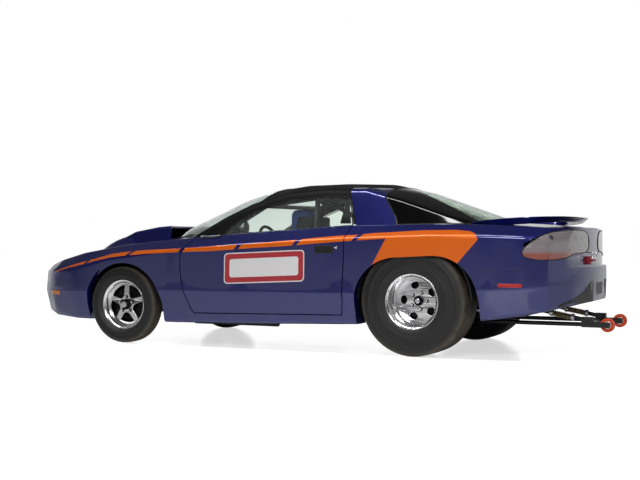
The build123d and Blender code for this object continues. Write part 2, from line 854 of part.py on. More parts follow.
# Windshield
with BuildPart() as windshield:
    side_block(side_view(windshield_outline_shares), -side_reach, side_reach)
    plan_block(mirrored_plan(windshield_plan_shares), hood_low, body_height + overrun, Mode.INTERSECT)
    add(glass_shell.part, mode=Mode.INTERSECT)
    add(hull_over, mode=Mode.SUBTRACT)
save(windshield, "windshield")

# Hatch: its glass, the deck lid behind the glass and the spoiler on the lid
with BuildPart() as hatch_glass:
    side_block(side_view(hatch_glass_outline_shares), -side_reach, side_reach)
    add(glass_shell.part, mode=Mode.INTERSECT)
    add(hull_over, mode=Mode.SUBTRACT)
save(hatch_glass, "hatch_glass")
with BuildPart() as deck_lid:
    plan_block(mirrored_plan(deck_outline_shares), deck_low, body_height)
    add(hull_shell.part, mode=Mode.INTERSECT)
save(deck_lid, "deck_lid")
spoiler_half_width = spoiler_breadth_share * half_width
spoiler_tip_x = nose_x - spoiler_tip_share * body_length
spoiler_side_x = nose_x - spoiler_side_share * body_length
with BuildPart() as spoiler:
    side_block(side_view(spoiler_outline_shares), -spoiler_half_width, spoiler_half_width)
    with BuildSketch() as spoiler_plan:
        with BuildLine():
            tip = ThreePointArc(
                (spoiler_side_x, spoiler_half_width), (spoiler_tip_x, 0), (spoiler_side_x, -spoiler_half_width),
            )
            Polyline(tip @ 1, (rear_axle_x, -spoiler_half_width), (rear_axle_x, spoiler_half_width), tip @ 0)
        make_face()
    extrude(spoiler_plan.sketch, amount=body_height, mode=Mode.INTERSECT)
    add(hull_over, mode=Mode.SUBTRACT)
save(spoiler, "spoiler")

# Floor with the firewall and tunnel
tunnel_top = floor_height + tunnel_height
floor_side = cabin_side - seal_gap
rear_floor_top = rear_floor_height + floor_thickness
tub_radius = rear_tyre_radius + rear_well_clearance
shelf_x = rear_axle_x + tub_radius + tub_wall
with BuildPart() as floor_half:
    block((sill_rear_x, 0, floor_height), (firewall_x, floor_side, floor_top))
    block((firewall_x - floor_thickness, 0, floor_height), (firewall_x, floor_side, firewall_top))
    block((sill_rear_x, 0, floor_height), (sill_rear_x + floor_thickness, floor_side, rear_floor_top))
    block((sill_rear_x, 0, floor_height), (firewall_x, tunnel_half_width, tunnel_top))
    block((sill_rear_x, 0, 0), (firewall_x, tunnel_half_width - tunnel_wall, tunnel_top - tunnel_wall),
          Mode.SUBTRACT)
with BuildPart() as floor_pan:
    add(floor_half.part)
    mirror(about=Plane.XZ)
save(floor_pan, "floor_pan")

# Rear floor with the tubs over the rear tyres
with BuildPart() as rear_floor_half:
    block((shelf_x, 0, rear_floor_height), (sill_rear_x, floor_side, rear_floor_top))
    block((tail_x + rear_floor_setback, 0, rear_floor_height), (shelf_x, rear_floor_half_width, rear_floor_top))
with BuildPart() as tub:
    disc(rear_axle_x, rear_tyre_radius, tub_inner_face, tub_outer, tub_radius + tub_wall)
    disc(rear_axle_x, rear_tyre_radius, tub_inner, tub_outer, tub_radius, Mode.SUBTRACT)
    tub_reach = tub_radius + tub_wall
    block((rear_axle_x - tub_reach, 0, -overrun), (rear_axle_x + tub_reach, half_width, tub_low), Mode.SUBTRACT)
    block((rear_axle_x - tub_slot_half, 0, 0), (rear_axle_x + tub_slot_half, tub_inner, tub_slot_high),
          Mode.SUBTRACT)
with BuildPart() as rear_floor:
    add(rear_floor_half.part)
    add(tub.part)
    mirror(about=Plane.XZ)
save(rear_floor, "rear_floor")

# Front subframe: rails, crossmembers, shock towers, steering rack, bumper beam and hood posts
horn_x = front_axle_x + rail_front_reach
step_x = front_axle_x + rail_step_reach
post_x = front_axle_x + hood_post_reach
tower_out = crossmember_half + tower_size
with BuildPart() as subframe_half:
    block((firewall_x + seal_gap, rail_inner, rail_low), (step_x, rail_outer, rail_high))
    block((step_x, rail_inner, horn_low), (horn_x, rail_outer, rail_high))
    block((front_axle_x - crossmember_half, 0, crossmember_low),
          (front_axle_x + crossmember_half, rail_outer, engine_low - seal_gap))
    block((horn_x - horn_depth, 0, horn_low), (horn_x, rail_outer, beam_high))
    block((horn_x - horn_depth, 0, beam_low), (nose_x - side_wall - seal_gap, beam_half_width, beam_high))
    block((front_axle_x + crossmember_half, rail_inner, rail_low),
          (front_axle_x + tower_out, rail_outer, tower_height + tower_plate_thickness))
    block((front_axle_x - tower_out, rail_inner, rail_low),
          (front_axle_x - crossmember_half, rail_outer, tower_height + tower_plate_thickness))
    block((front_axle_x - tower_out, rail_inner, tower_height),
          (front_axle_x + tower_out, tower_plate_outer, tower_height + tower_plate_thickness))
    bar((front_axle_x + rack_reach, 0, rack_height), (front_axle_x + rack_reach, rail_outer, rack_height),
        rack_radius)
with BuildPart() as hood_post:
    block((post_x, rail_inner, rail_low), (post_x + hood_post_size, rail_inner + hood_post_size, body_height))
    add(hull_under, mode=Mode.INTERSECT)
with BuildPart() as subframe:
    add(subframe_half.part)
    add(hood_post.part)
    mirror(about=Plane.XZ)
save(subframe, "subframe")

# Engine and gearbox as plain masses, and the drive shaft
with BuildPart() as engine:
    block((front_axle_x - engine_rear_reach, -rail_inner + seal_gap, engine_low),
          (front_axle_x + engine_front_reach, rail_inner - seal_gap, engine_high))
save(engine, "engine_block")
gearbox_x = front_axle_x - gearbox_reach
case_front_x = rear_axle_x + axle_case_radius
with BuildPart() as drive_line:
    bar((front_axle_x - engine_rear_reach - seal_gap, 0, gearbox_height), (gearbox_x, 0, gearbox_height),
        gearbox_radius)
    bar((gearbox_x + shaft_radius, 0, gearbox_height), (case_front_x + shut_gap / 2, 0, rear_tyre_radius),
        shaft_radius)
save(drive_line, "drive_line")

# Front suspension: arms, ball joints and coil-over shocks
lower_joint_top = knuckle_low - seal_gap
upper_joint_low = knuckle_high + seal_gap
lower_joint_middle = lower_joint_top - ball_joint_height / 2
upper_joint_middle = upper_joint_low + ball_joint_height / 2
arm_seat = rail_outer + seal_gap
shock_share = (kingpin_track_half - front_shock_foot_track) / (kingpin_track_half - arm_seat)
shock_foot_height_front = lower_joint_middle + (lower_arm_height - lower_joint_middle) * shock_share
with BuildPart() as arms_half:
    for way in (-1, 1):
        for spread, height, joint in (
            (arm_spread, lower_arm_height, lower_joint_middle), (upper_arm_spread, upper_arm_height,
            upper_joint_middle),
        ):
            x = front_axle_x + way * spread
            block((x - bushing_size / 2, arm_seat, height - bushing_size / 2),
                  (x + bushing_size / 2, arm_seat + bushing_size, height + bushing_size / 2))
            bar((x, arm_seat + bushing_size / 2, height), (front_axle_x, kingpin_track_half, joint), arm_radius)
    bar((front_axle_x, kingpin_track_half, lower_joint_top - ball_joint_height),
        (front_axle_x, kingpin_track_half, lower_joint_top), ball_joint_radius)
    bar((front_axle_x, kingpin_track_half, upper_joint_low),
        (front_axle_x, kingpin_track_half, upper_joint_low + ball_joint_height), ball_joint_radius)
    cross = arm_spread * shock_share
    bar((front_axle_x - cross, front_shock_foot_track, shock_foot_height_front),
        (front_axle_x + cross, front_shock_foot_track, shock_foot_height_front), arm_radius)
    bar((front_axle_x, front_shock_foot_track, shock_foot_height_front),
        (front_axle_x, front_shock_top_track, tower_height - front_shock_top_drop), front_shock_radius)
    bar((front_axle_x, front_shock_top_track, tower_height - front_shock_radius),
        (front_axle_x, front_shock_top_track, tower_height - seal_gap), shock_rod_radius)
with BuildPart() as front_arms:
    add(arms_half.part)
    mirror(about=Plane.XZ)
save(front_arms, "front_arms")

# Knuckles, which carry the front wheels and steer
front_disc_back = front_lip_plane - front_disc_inset - rim_disc_thickness
with BuildPart() as knuckle:
    bar((front_axle_x, kingpin_track_half, knuckle_low), (front_axle_x, kingpin_track_half, knuckle_high),
        kingpin_radius)
    disc(front_axle_x, front_tyre_radius, kingpin_track_half - kingpin_radius, front_disc_back - seal_gap,
         spindle_radius)
    disc(front_axle_x, front_tyre_radius, front_disc_back - seal_gap - hub_flange_thickness,
         front_disc_back - seal_gap, hub_flange_radius)
    bar((front_axle_x, kingpin_track_half, steer_arm_height),
        (front_axle_x + steer_arm_reach, kingpin_track_half - steer_arm_inset, steer_arm_height), arm_radius)
save_pair(knuckle, "knuckle")

# Rear axle with its ladder bars, coil-over shocks and the brackets of the wheelie bar
rear_disc_back = rear_lip_plane - rear_dish_depth - rim_disc_thickness
axle_end = rear_disc_back - seal_gap
bracket_x = rear_axle_x - wheelie_bracket_depth
with BuildPart() as axle_half:
    disc(rear_axle_x, rear_tyre_radius, 0, axle_end, axle_tube_radius)
    disc(rear_axle_x, rear_tyre_radius, 0, axle_case_half_width, axle_case_radius)
    disc(rear_axle_x, rear_tyre_radius, axle_end - axle_flange_thickness, axle_end, axle_flange_radius)
    block((bracket_x, roller_track_half - wheelie_bracket_thickness / 2, wheelie_bracket_low),
          (rear_axle_x, roller_track_half + wheelie_bracket_thickness / 2, wheelie_bracket_high))
    bar((rear_axle_x, ladder_bar_track_half, rear_tyre_radius),
        (rear_axle_x + ladder_bar_reach, ladder_bar_track_half,
        ladder_bar_height), ladder_bar_radius)
    bar((rear_axle_x, ladder_bar_track_half, rear_tyre_radius - ladder_plate_drop),
        (rear_axle_x + ladder_bar_reach, ladder_bar_track_half, ladder_bar_height), ladder_bar_radius)
    bar((rear_axle_x, ladder_bar_track_half, rear_tyre_radius - ladder_plate_drop),
        (rear_axle_x, ladder_bar_track_half, rear_tyre_radius), axle_tube_radius)
    block((rear_axle_x + ladder_bar_reach - ladder_bar_end_half, ladder_bar_track_half - ladder_bar_end_half,
           ladder_bar_height - ladder_bar_end_half),
          (sill_rear_x - seal_gap, ladder_bar_track_half + ladder_bar_end_half,
          ladder_bar_height + ladder_bar_end_half))
    bar((rear_axle_x - shock_setback, shock_track_half, shock_foot_height),
        (rear_axle_x - shock_setback, shock_track_half, rear_floor_height - seal_gap), shock_radius)
with BuildPart() as rear_axle:
    add(axle_half.part)
    mirror(about=Plane.XZ)
save(rear_axle, "rear_axle")

# Wheelie bar and its rollers
end_front_x = roller_x + wheelie_end_front
end_rear_x = roller_x + wheelie_end_rear
plate_near = roller_width / 2 + roller_side_gap
plate_far = plate_near + wheelie_plate_thickness
with BuildPart() as wheelie_half:
    tube_x = bracket_x - seal_gap
    bar((tube_x, roller_track_half, roller_height), (end_front_x, roller_track_half, roller_height),
        wheelie_tube_radius)
    block((tube_x - bushing_size, roller_track_half - wheelie_tube_radius, wheelie_upper_height - wheelie_tube_radius),
          (tube_x, roller_track_half + wheelie_tube_radius, wheelie_upper_height + wheelie_tube_radius))
    bar((tube_x - bushing_size / 2, roller_track_half, wheelie_upper_height),
        (end_front_x, roller_track_half, wheelie_end_height), wheelie_tube_radius)
    block((end_rear_x, roller_track_half - plate_far, wheelie_end_low),
          (end_front_x, roller_track_half + plate_far, wheelie_end_high))
    for near, far in ((-plate_far, -plate_near), (plate_near, plate_far)):
        block((roller_x - wheelie_plate_half_height, roller_track_half + near, roller_height - wheelie_plate_half_height),
              (end_rear_x, roller_track_half + far, roller_height + wheelie_plate_half_height))
    disc(roller_x, roller_height, roller_track_half - plate_far, roller_track_half + plate_far,
         roller_pin_radius)
    disc((end_front_x + end_rear_x) / 2, roller_height, 0, roller_track_half, wheelie_tube_radius)
with BuildPart() as wheelie_bar:
    add(wheelie_half.part)
    mirror(about=Plane.XZ)
save(wheelie_bar, "wheelie_bar")
with BuildPart() as roller:
    disc(roller_x, roller_height, roller_track_half - roller_width / 2, roller_track_half + roller_width / 2,
         roller_radius)
    disc(roller_x, roller_height, roller_track_half - roller_width / 2, roller_track_half + roller_width / 2,
         roller_pin_radius + roller_pin_clearance, Mode.SUBTRACT)
save_pair(roller, "roller")

# Wheels: deep rims at the rear, five-spoke rims in front, and slick tyres
with BuildPart() as tyre_front:
    tyre(front_axle_x, front_tyre_radius, front_lip_plane - front_rim_width / 2, front_tyre_width,
         front_tread_width,
         front_rim_width)
save_pair(tyre_front, "tyre_front")
with BuildPart() as tyre_rear:
    tyre(rear_axle_x, rear_tyre_radius, rear_lip_plane - rear_rim_width / 2, rear_tyre_width, rear_tread_width,
         rear_rim_width)
save_pair(tyre_rear, "tyre_rear")
spoke_end = rim_barrel_radius - rim_wall / 2
with BuildPart() as rim_front:
    barrel(front_axle_x, front_tyre_radius, front_lip_plane, front_rim_width)
    with BuildSketch(wheel_plane(front_axle_x, front_disc_back, front_tyre_radius)) as star:
        Circle(front_hub_radius)
        with PolarLocations(0, front_spoke_count):
            Polygon(
                (0, front_spoke_root_width / 2), (spoke_end, front_spoke_tip_width / 2),
                (spoke_end, -front_spoke_tip_width / 2), (0, -front_spoke_root_width / 2), align=None,
            )
    extrude(star.sketch, amount=rim_disc_thickness)
    disc(front_axle_x, front_tyre_radius, front_disc_back, front_disc_back + hub_cap_length, hub_cap_radius)
save_pair(rim_front, "rim_front")
with BuildPart() as rim_rear:
    barrel(rear_axle_x, rear_tyre_radius, rear_lip_plane, rear_rim_width)
    with BuildSketch(wheel_plane(rear_axle_x, rear_disc_back, rear_tyre_radius)) as web:
        Circle(spoke_end)
        with PolarLocations(rear_window_circle, rear_window_count):
            Circle(rear_window_radius, mode=Mode.SUBTRACT)
    extrude(web.sketch, amount=rim_disc_thickness)
    disc(rear_axle_x, rear_tyre_radius, rear_disc_back, rear_disc_back + hub_cap_length, hub_cap_radius)
save_pair(rim_rear, "rim_rear")

# Roll cage
hoop_x = front_axle_x - cage_hoop_reach
cage_front_x = front_axle_x - cage_front_reach
cage_dash_x = front_axle_x - cage_dash_reach
cage_foot_x = front_axle_x - cage_foot_reach
stay_x = front_axle_x - cage_stay_reach
foot_height = floor_top + seal_gap
stay_height = rear_floor_top + seal_gap
tube_start = foot_height + cage_foot_thickness
with BuildPart() as cage_half:
    foot(hoop_x, cage_floor_half_width, foot_height)
    foot(cage_foot_x, cage_floor_half_width, foot_height)
    foot(stay_x, cage_stay_half_width, stay_height)
    hoop_corner = (hoop_x, cage_roof_half_width, cage_roof_height)
    front_corner = (cage_front_x, cage_front_half_width, cage_front_height)
    dash_corner = (cage_dash_x, cage_dash_half_width, cage_dash_height)
    bar((hoop_x, cage_floor_half_width, tube_start), hoop_corner, cage_tube_radius)
    bar((hoop_x, 0, cage_roof_height), hoop_corner, cage_front_radius)
    bar(hoop_corner, front_corner, cage_brace_radius)
    bar((cage_front_x, 0, cage_front_height), front_corner, cage_front_radius)
    bar(front_corner, dash_corner, cage_tube_radius)
    bar(dash_corner, (cage_foot_x, cage_floor_half_width, tube_start), cage_front_radius)
    bar((hoop_x, cage_stay_half_width, cage_roof_height),
        (stay_x, cage_stay_half_width, stay_height + cage_tube_radius), cage_brace_radius)
    bar((hoop_x, 0, cage_harness_height), (hoop_x, cage_dash_half_width, cage_harness_height),
        cage_brace_radius)
    door_bar_y = cage_floor_half_width - cage_tube_radius
    bar((hoop_x, door_bar_y, cage_door_bar_height),
        (cage_foot_x - cage_tube_radius, door_bar_y, cage_door_bar_height), cage_brace_radius)
    for corner in (hoop_corner, front_corner, dash_corner):
        with Locations(corner):
            Sphere(cage_joint_radius)
with BuildPart() as roll_cage:
    add(cage_half.part)
    mirror(about=Plane.XZ)
    bar((hoop_x, cage_dash_half_width, cage_harness_height),
        (hoop_x, -door_bar_y, tube_start + cage_tube_radius), cage_front_radius)
save(roll_cage, "roll_cage")

# Driver's seat, a shell with bolsters
seat_front_x = front_axle_x - seat_front_reach
seat_bend_x = front_axle_x - seat_bend_reach
seat_top_x = front_axle_x - seat_top_reach
seat_rear_x = front_axle_x - seat_rear_reach
seat_outline = [
    (seat_front_x, foot_height), (seat_front_x, seat_bolster_height),
    (seat_bend_x + seat_bolster_depth, seat_bolster_height), (seat_top_x + seat_bolster_depth / 2,
    seat_back_height),
    (seat_rear_x, seat_back_height), (seat_rear_x, foot_height),
]
seat_hollow = [
    (seat_front_x, seat_cushion_height), (seat_bend_x, seat_cushion_height), (seat_top_x, seat_back_height),
    (seat_top_x, body_height), (seat_front_x, body_height),
]
with BuildPart() as seat:
    side_block(seat_outline, driver_offset - seat_half_width, driver_offset + seat_half_width)
    side_block(seat_hollow, driver_offset - seat_half_width + seat_wall,
               driver_offset + seat_half_width - seat_wall,
               Mode.SUBTRACT)
save(seat, "driver_seat")

# Dashboard with the tachometer
dash_x = front_axle_x - dash_rear_reach
dash_front_x = firewall_x - floor_thickness - seal_gap
dash_side = cabin_side - dash_margin
tachometer_x = front_axle_x - tachometer_reach
with BuildPart() as dashboard:
    block((dash_x, -dash_side, dash_low), (dash_front_x, dash_side, dash_height))
    for way in (-1, 1):
        bar((cage_dash_x, way * cage_dash_half_width, cage_dash_height),
            (cage_foot_x, way * cage_floor_half_width, tube_start), cage_tube_radius + dash_cage_gap,
            Mode.SUBTRACT)
    bar((tachometer_x, driver_offset, dash_low), (tachometer_x, driver_offset, tachometer_height),
        tachometer_stalk_radius)
    bar((tachometer_x - tachometer_length / 2, driver_offset, tachometer_height),
        (tachometer_x + tachometer_length / 2, driver_offset, tachometer_height), tachometer_radius)
save(dashboard, "dashboard")

# Steering column and wheel
tilt = math.radians(steering_tilt)
wheel_centre = Vector(front_axle_x - steering_wheel_reach, driver_offset, steering_wheel_height)
column_way = Vector(math.cos(tilt), 0, -math.sin(tilt))
column_end_x = dash_x - seal_gap - column_flange_thickness
column_run = (column_end_x - wheel_centre.X) / math.cos(tilt)
column_start = wheel_centre + column_way * (steering_hub_length / 2 + seal_gap)
column_end = wheel_centre + column_way * column_run
with BuildPart() as column:
    bar(column_start, column_end, column_radius)
    block((column_end_x, driver_offset - column_flange_half, column_end.Z - column_flange_half),
          (column_end_x + column_flange_thickness, driver_offset + column_flange_half,
          column_end.Z + column_flange_half))
save(column, "steering_column")
with BuildPart() as steering_wheel:
    with BuildSketch(Plane(wheel_centre, x_dir=(0, 1, 0), z_dir=column_way)) as hub_face:
        Circle(steering_hub_radius)
    extrude(hub_face.sketch, amount=steering_hub_length / 2, both=True)
    with Locations(Plane(wheel_centre, x_dir=(0, 1, 0), z_dir=column_way)):
        Torus(steering_wheel_radius, steering_wheel_tube_radius)
    for number in range(steering_spoke_count):
        turn = math.radians(90 + number * 360 / steering_spoke_count)
        across = Vector(0, math.cos(turn), 0)
        up = Vector(math.sin(tilt), 0, math.cos(tilt)) * math.sin(turn)
        bar(wheel_centre, wheel_centre + (across - up) * steering_wheel_radius, steering_spoke_radius)
save(steering_wheel, "steering_wheel")

# Exhausts under the floor
with BuildPart() as exhaust:
    pipe_z = floor_height - seal_gap - exhaust_radius
    bar((front_axle_x - exhaust_front_reach, exhaust_track_half, pipe_z),
        (front_axle_x - exhaust_rear_reach, exhaust_track_half, pipe_z), exhaust_radius)
with BuildPart() as exhausts:
    add(exhaust.part)
    mirror(about=Plane.XZ)
save(exhausts, "exhausts")

# Battery switch on the tail
switch_x = tail_x + ledge_depth
with BuildPart() as kill_switch:
    block((switch_x - switch_depth, switch_track - switch_half_width, switch_low),
          (switch_x + switch_depth, switch_track + switch_half_width, switch_high))
    tail_block(seal_gap, Mode.INTERSECT)
    bar((switch_x - switch_depth / 2, switch_track, (switch_low + switch_high) / 2),
        (switch_x - switch_handle_length, switch_track, (switch_low + switch_high) / 2), switch_handle_radius)
save(kill_switch, "kill_switch")
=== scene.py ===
"""Looks of a drag racing car: a wedge-nosed coupe on slick tyres, with a wheelie bar.

The car faces +X and its left side is +Y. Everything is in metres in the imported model's own frame.
"""

import math

import bmesh
import bpy
from mathutils import Matrix, Vector
from mathutils.bvhtree import BVHTree


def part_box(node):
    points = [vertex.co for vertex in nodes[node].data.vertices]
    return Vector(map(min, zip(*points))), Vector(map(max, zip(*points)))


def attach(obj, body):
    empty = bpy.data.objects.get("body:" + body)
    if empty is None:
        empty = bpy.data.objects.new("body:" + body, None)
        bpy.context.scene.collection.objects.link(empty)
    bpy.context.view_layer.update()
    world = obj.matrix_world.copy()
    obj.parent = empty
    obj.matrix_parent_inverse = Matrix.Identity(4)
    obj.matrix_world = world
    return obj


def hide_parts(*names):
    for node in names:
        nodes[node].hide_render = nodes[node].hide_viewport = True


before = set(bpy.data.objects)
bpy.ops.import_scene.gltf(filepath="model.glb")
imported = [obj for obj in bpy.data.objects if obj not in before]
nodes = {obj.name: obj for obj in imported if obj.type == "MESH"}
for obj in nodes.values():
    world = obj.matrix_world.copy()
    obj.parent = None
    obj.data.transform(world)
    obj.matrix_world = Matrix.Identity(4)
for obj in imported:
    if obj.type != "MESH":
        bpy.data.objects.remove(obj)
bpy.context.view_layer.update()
scene = bpy.context.scene
scene.view_settings.view_transform = "Standard"

# Camera: a long lens about 9 m from the car, off its left rear corner, at window height and level with
# the ground. Its place and turn are fitted to the wheels, the roof and the wheelie bar's rollers.
yaw, pitch = math.radians(25.544), math.radians(0.06)
look = Vector((math.sin(yaw) * math.cos(pitch), -math.cos(yaw) * math.cos(pitch), -math.sin(pitch)))
focal_pixels, image_pixels = 1084, 640
camera_data = bpy.data.cameras.new("camera")
camera_data.sensor_width = 36
camera_data.lens = camera_data.sensor_width * focal_pixels / image_pixels
camera = bpy.data.objects.new("camera", camera_data)
camera.location = (-3.9666, 8.3307, 0.8647)
camera.rotation_euler = look.to_track_quat("-Z", "Y").to_euler()
scene.collection.objects.link(camera)
scene.camera = camera


# Studio: a white cove that glows softly behind the car, a darker near side and ceiling, and a wide
# overhead light. The floor is polished, so it shows a faint reflection and the car's shadow.
def linear(code):
    """Turns an sRGB hex colour into linear values."""
    values = [int(code[i : i + 2], 16) / 255 for i in (1, 3, 5)]
    return [v / 12.92 if v <= 0.04045 else ((v + 0.055) / 1.055) ** 2.4 for v in values] + [1.0]


def add_node(tree, kind, inputs=(), **settings):
    """Adds a node, sets it, and feeds each named input with a value or another node's output."""
    made = tree.nodes.new(kind)
    for key, value in settings.items():
        setattr(made, key, value)
    for name, value in dict(inputs).items():
        socket = made.inputs[name]
        if isinstance(value, bpy.types.NodeSocket):
            tree.links.new(value, socket)
        else:
            socket.default_value = value
    return made


def finished(name, bm):
    """Turns a bmesh into a mesh."""
    mesh = bpy.data.meshes.new(name)
    bm.to_mesh(mesh)
    bm.free()
    return mesh


world = bpy.data.worlds.new("studio")
scene.world = world
world.use_nodes = True
sky = world.node_tree
sky.nodes.clear()
towards = add_node(sky, "ShaderNodeTexCoord")
height = add_node(sky, "ShaderNodeSeparateXYZ", {0: towards.outputs["Generated"]})
edge_low = add_node(sky, "ShaderNodeMapRange", {"Value": height.outputs["Y"], "From Min": -0.3,
                                                "From Max": 0.3, "To Min": 0.16, "To Max": -0.04})
edge_high = add_node(sky, "ShaderNodeMath", {0: edge_low.outputs[0], 1: 0.2}, operation="ADD")
cove = add_node(sky, "ShaderNodeMapRange", {"Value": height.outputs["Z"], "From Min": edge_low.outputs[0],
                                            "From Max": edge_high.outputs[0], "To Min": 0.66,
                                            "To Max": 0.06})
ray = add_node(sky, "ShaderNodeLightPath")
seen = add_node(sky, "ShaderNodeMath", {0: ray.outputs["Is Camera Ray"],
                                        1: ray.outputs["Is Transmission Ray"]}, operation="MAXIMUM")
lit = add_node(sky, "ShaderNodeBackground", {"Color": (1, 1, 1, 1), "Strength": cove.outputs[0]})
shown = add_node(sky, "ShaderNodeBackground", {"Color": (1, 1, 1, 1), "Strength": 1.0})
either = add_node(sky, "ShaderNodeMixShader", {0: seen.outputs[0], 1: lit.outputs[0],
                                               2: shown.outputs[0]})
add_node(sky, "ShaderNodeOutputWorld", {"Surface": either.outputs[0]})

bm = bmesh.new()
bmesh.ops.create_grid(bm, x_segments=1, y_segments=1, size=30)
floor_mesh = finished("studio_floor", bm)
studio_floor = bpy.data.objects.new("studio_floor", floor_mesh)
scene.collection.objects.link(studio_floor)
floor_paint = bpy.data.materials.new("white_studio_floor_paint")
floor_paint.use_nodes = True
tree = floor_paint.node_tree
shader = tree.nodes["Principled BSDF"]
shader.inputs["Base Color"].default_value = linear("#f4f4f2")
shader.inputs["Roughness"].default_value = 0.14
shader.inputs["Specular IOR Level"].default_value = 0.6
ray = add_node(tree, "ShaderNodeLightPath")
glow = add_node(tree, "ShaderNodeEmission", {"Color": (1, 1, 1, 1), "Strength": 0.62})
both = add_node(tree, "ShaderNodeAddShader", {0: shader.outputs[0], 1: glow.outputs[0]})
pick = add_node(tree, "ShaderNodeMixShader", {0: ray.outputs["Is Camera Ray"], 1: shader.outputs[0],
                                              2: both.outputs[0]})
tree.links.new(pick.outputs[0], tree.nodes["Material Output"].inputs["Surface"])
floor_mesh.materials.append(floor_paint)

for name, place, size, power in (
    ("overhead", (0.0, 1.7, 5.0), (7.0, 0.4), 220),
    ("side_fill", (-3.0, 6.0, 4.2), (5.0, 1.4), 240),
    ("far_fill", (1.5, -6.5, 3.6), (6.0, 1.6), 80),
):
    light = bpy.data.lights.new(name, "AREA")
    light.shape = "RECTANGLE"
    light.size, light.size_y = size
    light.energy = power
    lamp = bpy.data.objects.new(name, light)
    lamp.location = place
    lamp.rotation_euler = (Vector((0, 0, 0.5)) - Vector(place)).to_track_quat("-Z", "Y").to_euler()
    lamp.visible_glossy = name != "far_fill"
    scene.collection.objects.link(lamp)


# Pressed and moulded surfaces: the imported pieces' triangles are joined up and smoothed, as a die or a
# mould leaves them, and stay sharp at their cut edges. Every finish starts from the same shader values
# and a fine grain.
def smoothing(angle):
    """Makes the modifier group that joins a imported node's triangles and smooths all but its sharp edges."""
    group = bpy.data.node_groups.new("joined_and_smoothed", "GeometryNodeTree")
    group.interface.new_socket("Geometry", in_out="INPUT", socket_type="NodeSocketGeometry")
    group.interface.new_socket("Geometry", in_out="OUTPUT", socket_type="NodeSocketGeometry")
    start = add_node(group, "NodeGroupInput")
    joined = add_node(group, "GeometryNodeMergeByDistance", {"Geometry": start.outputs[0],
                                                             "Distance": 0.00002})
    bend = add_node(group, "GeometryNodeInputMeshEdgeAngle")
    soft = add_node(group, "FunctionNodeCompare", {0: bend.outputs[0], 1: angle}, operation="LESS_THAN")
    faces = add_node(group, "GeometryNodeSetShadeSmooth", {"Geometry": joined.outputs[0]}, domain="FACE")
    edges = add_node(group, "GeometryNodeSetShadeSmooth",
                     {"Geometry": faces.outputs[0], "Shade Smooth": soft.outputs[0]}, domain="EDGE")
    add_node(group, "NodeGroupOutput", {0: edges.outputs[0]})
    return group


smooth_group = smoothing(math.radians(28))


def dress(names, material):
    """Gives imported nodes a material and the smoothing."""
    for name in names:
        piece = nodes[name]
        piece.data.materials.clear()
        piece.data.materials.append(material)
        modifier = piece.modifiers.new("smoothed", "NODES")
        modifier.node_group = smooth_group


def finish_of(name, colour, roughness, metallic=0.0, **more):
    """Starts a material: its shader with the values that are the same all over."""
    material = bpy.data.materials.new(name)
    material.use_nodes = True
    principled = material.node_tree.nodes["Principled BSDF"]
    principled.inputs["Base Color"].default_value = linear(colour)
    principled.inputs["Roughness"].default_value = roughness
    principled.inputs["Metallic"].default_value = metallic
    for key, value in more.items():
        principled.inputs[key.replace("_", " ")].default_value = value
    return material, material.node_tree, principled


def grain(tree, principled, pitch, low, high, bump=0.0, stretch=(1, 1, 1)):
    """Varies the roughness with a fine pattern of the given pitch in metres, and the surface with it."""
    place = add_node(tree, "ShaderNodeTexCoord")
    scaled = add_node(tree, "ShaderNodeMapping", {"Vector": place.outputs["Object"], "Scale": stretch})
    noise = add_node(tree, "ShaderNodeTexNoise", {"Vector": scaled.outputs[0], "Scale": 1 / pitch,
                                                  "Detail": 3.0})
    rough = add_node(tree, "ShaderNodeMapRange", {"Value": noise.outputs[0], "To Min": low,
                                                  "To Max": high})
    tree.links.new(rough.outputs[0], principled.inputs["Roughness"])
    if bump:
        relief = add_node(tree, "ShaderNodeBump", {"Height": noise.outputs[0], "Strength": 1.0,
                                                   "Distance": bump})
        tree.links.new(relief.outputs[0], principled.inputs["Normal"])


# Body paint: indigo base coat with fine metal flake under clear lacquer, which mirrors the white cove.
# An orange band, cut by slanted gaps, runs back from the nose and widens to a flag over the rear arch, and
# the door has a blank sign. They are masks drawn in side view, in metres, on outward faces only.
band_front, band_rear = 2.24, -1.72
band_top = [  # x, z
    (2.190, 0.578), (2.105, 0.604), (1.996, 0.637), (1.880, 0.663), (1.713, 0.698), (1.548, 0.737),
    (1.387, 0.757), (1.187, 0.773), (0.838, 0.785), (0.500, 0.808), (0.173, 0.827), (-0.143, 0.850),
    (-0.348, 0.870), (-0.549, 0.887), (-0.745, 0.897), (-0.852, 0.908), (-1.042, 0.917), (-1.229, 0.927),
    (-1.472, 0.930), (-1.590, 0.920), (-1.640, 0.903), (-1.662, 0.864), (-1.700, 0.780),
]
band_low = [  # x, z
    (2.180, 0.570), (2.106, 0.592), (1.996, 0.620), (1.880, 0.642), (1.713, 0.676), (1.548, 0.706),
    (1.387, 0.724), (1.187, 0.740), (0.838, 0.757), (0.500, 0.769), (0.173, 0.792), (-0.143, 0.810),
    (-0.348, 0.826), (-0.549, 0.841), (-0.745, 0.853), (-0.952, 0.866),
]
gap_places = [1.813, 1.343, 0.819, 0.301, -0.213, -0.712]
gap_half_width, gap_slant = 0.021, 0.9
sign_middle, sign_lean = (0.052, 0.646), -0.044
sign_layers = [  # half size, corner, colour: white rim, red frame, white field
    ((0.353, 0.121), 0.032, "#e8e6e8"), ((0.345, 0.113), 0.026, "#b03038"),
    ((0.303, 0.072), 0.020, "#e8e6e8"),
]
body_paint, tree, principled = finish_of("indigo_flake_lacquer", "#0c1262", 0.36, 0.6, Coat_Weight=1.0,
                                         Coat_Roughness=0.03, Coat_IOR=1.6)
place = add_node(tree, "ShaderNodeTexCoord")
spot = place.outputs["Object"]
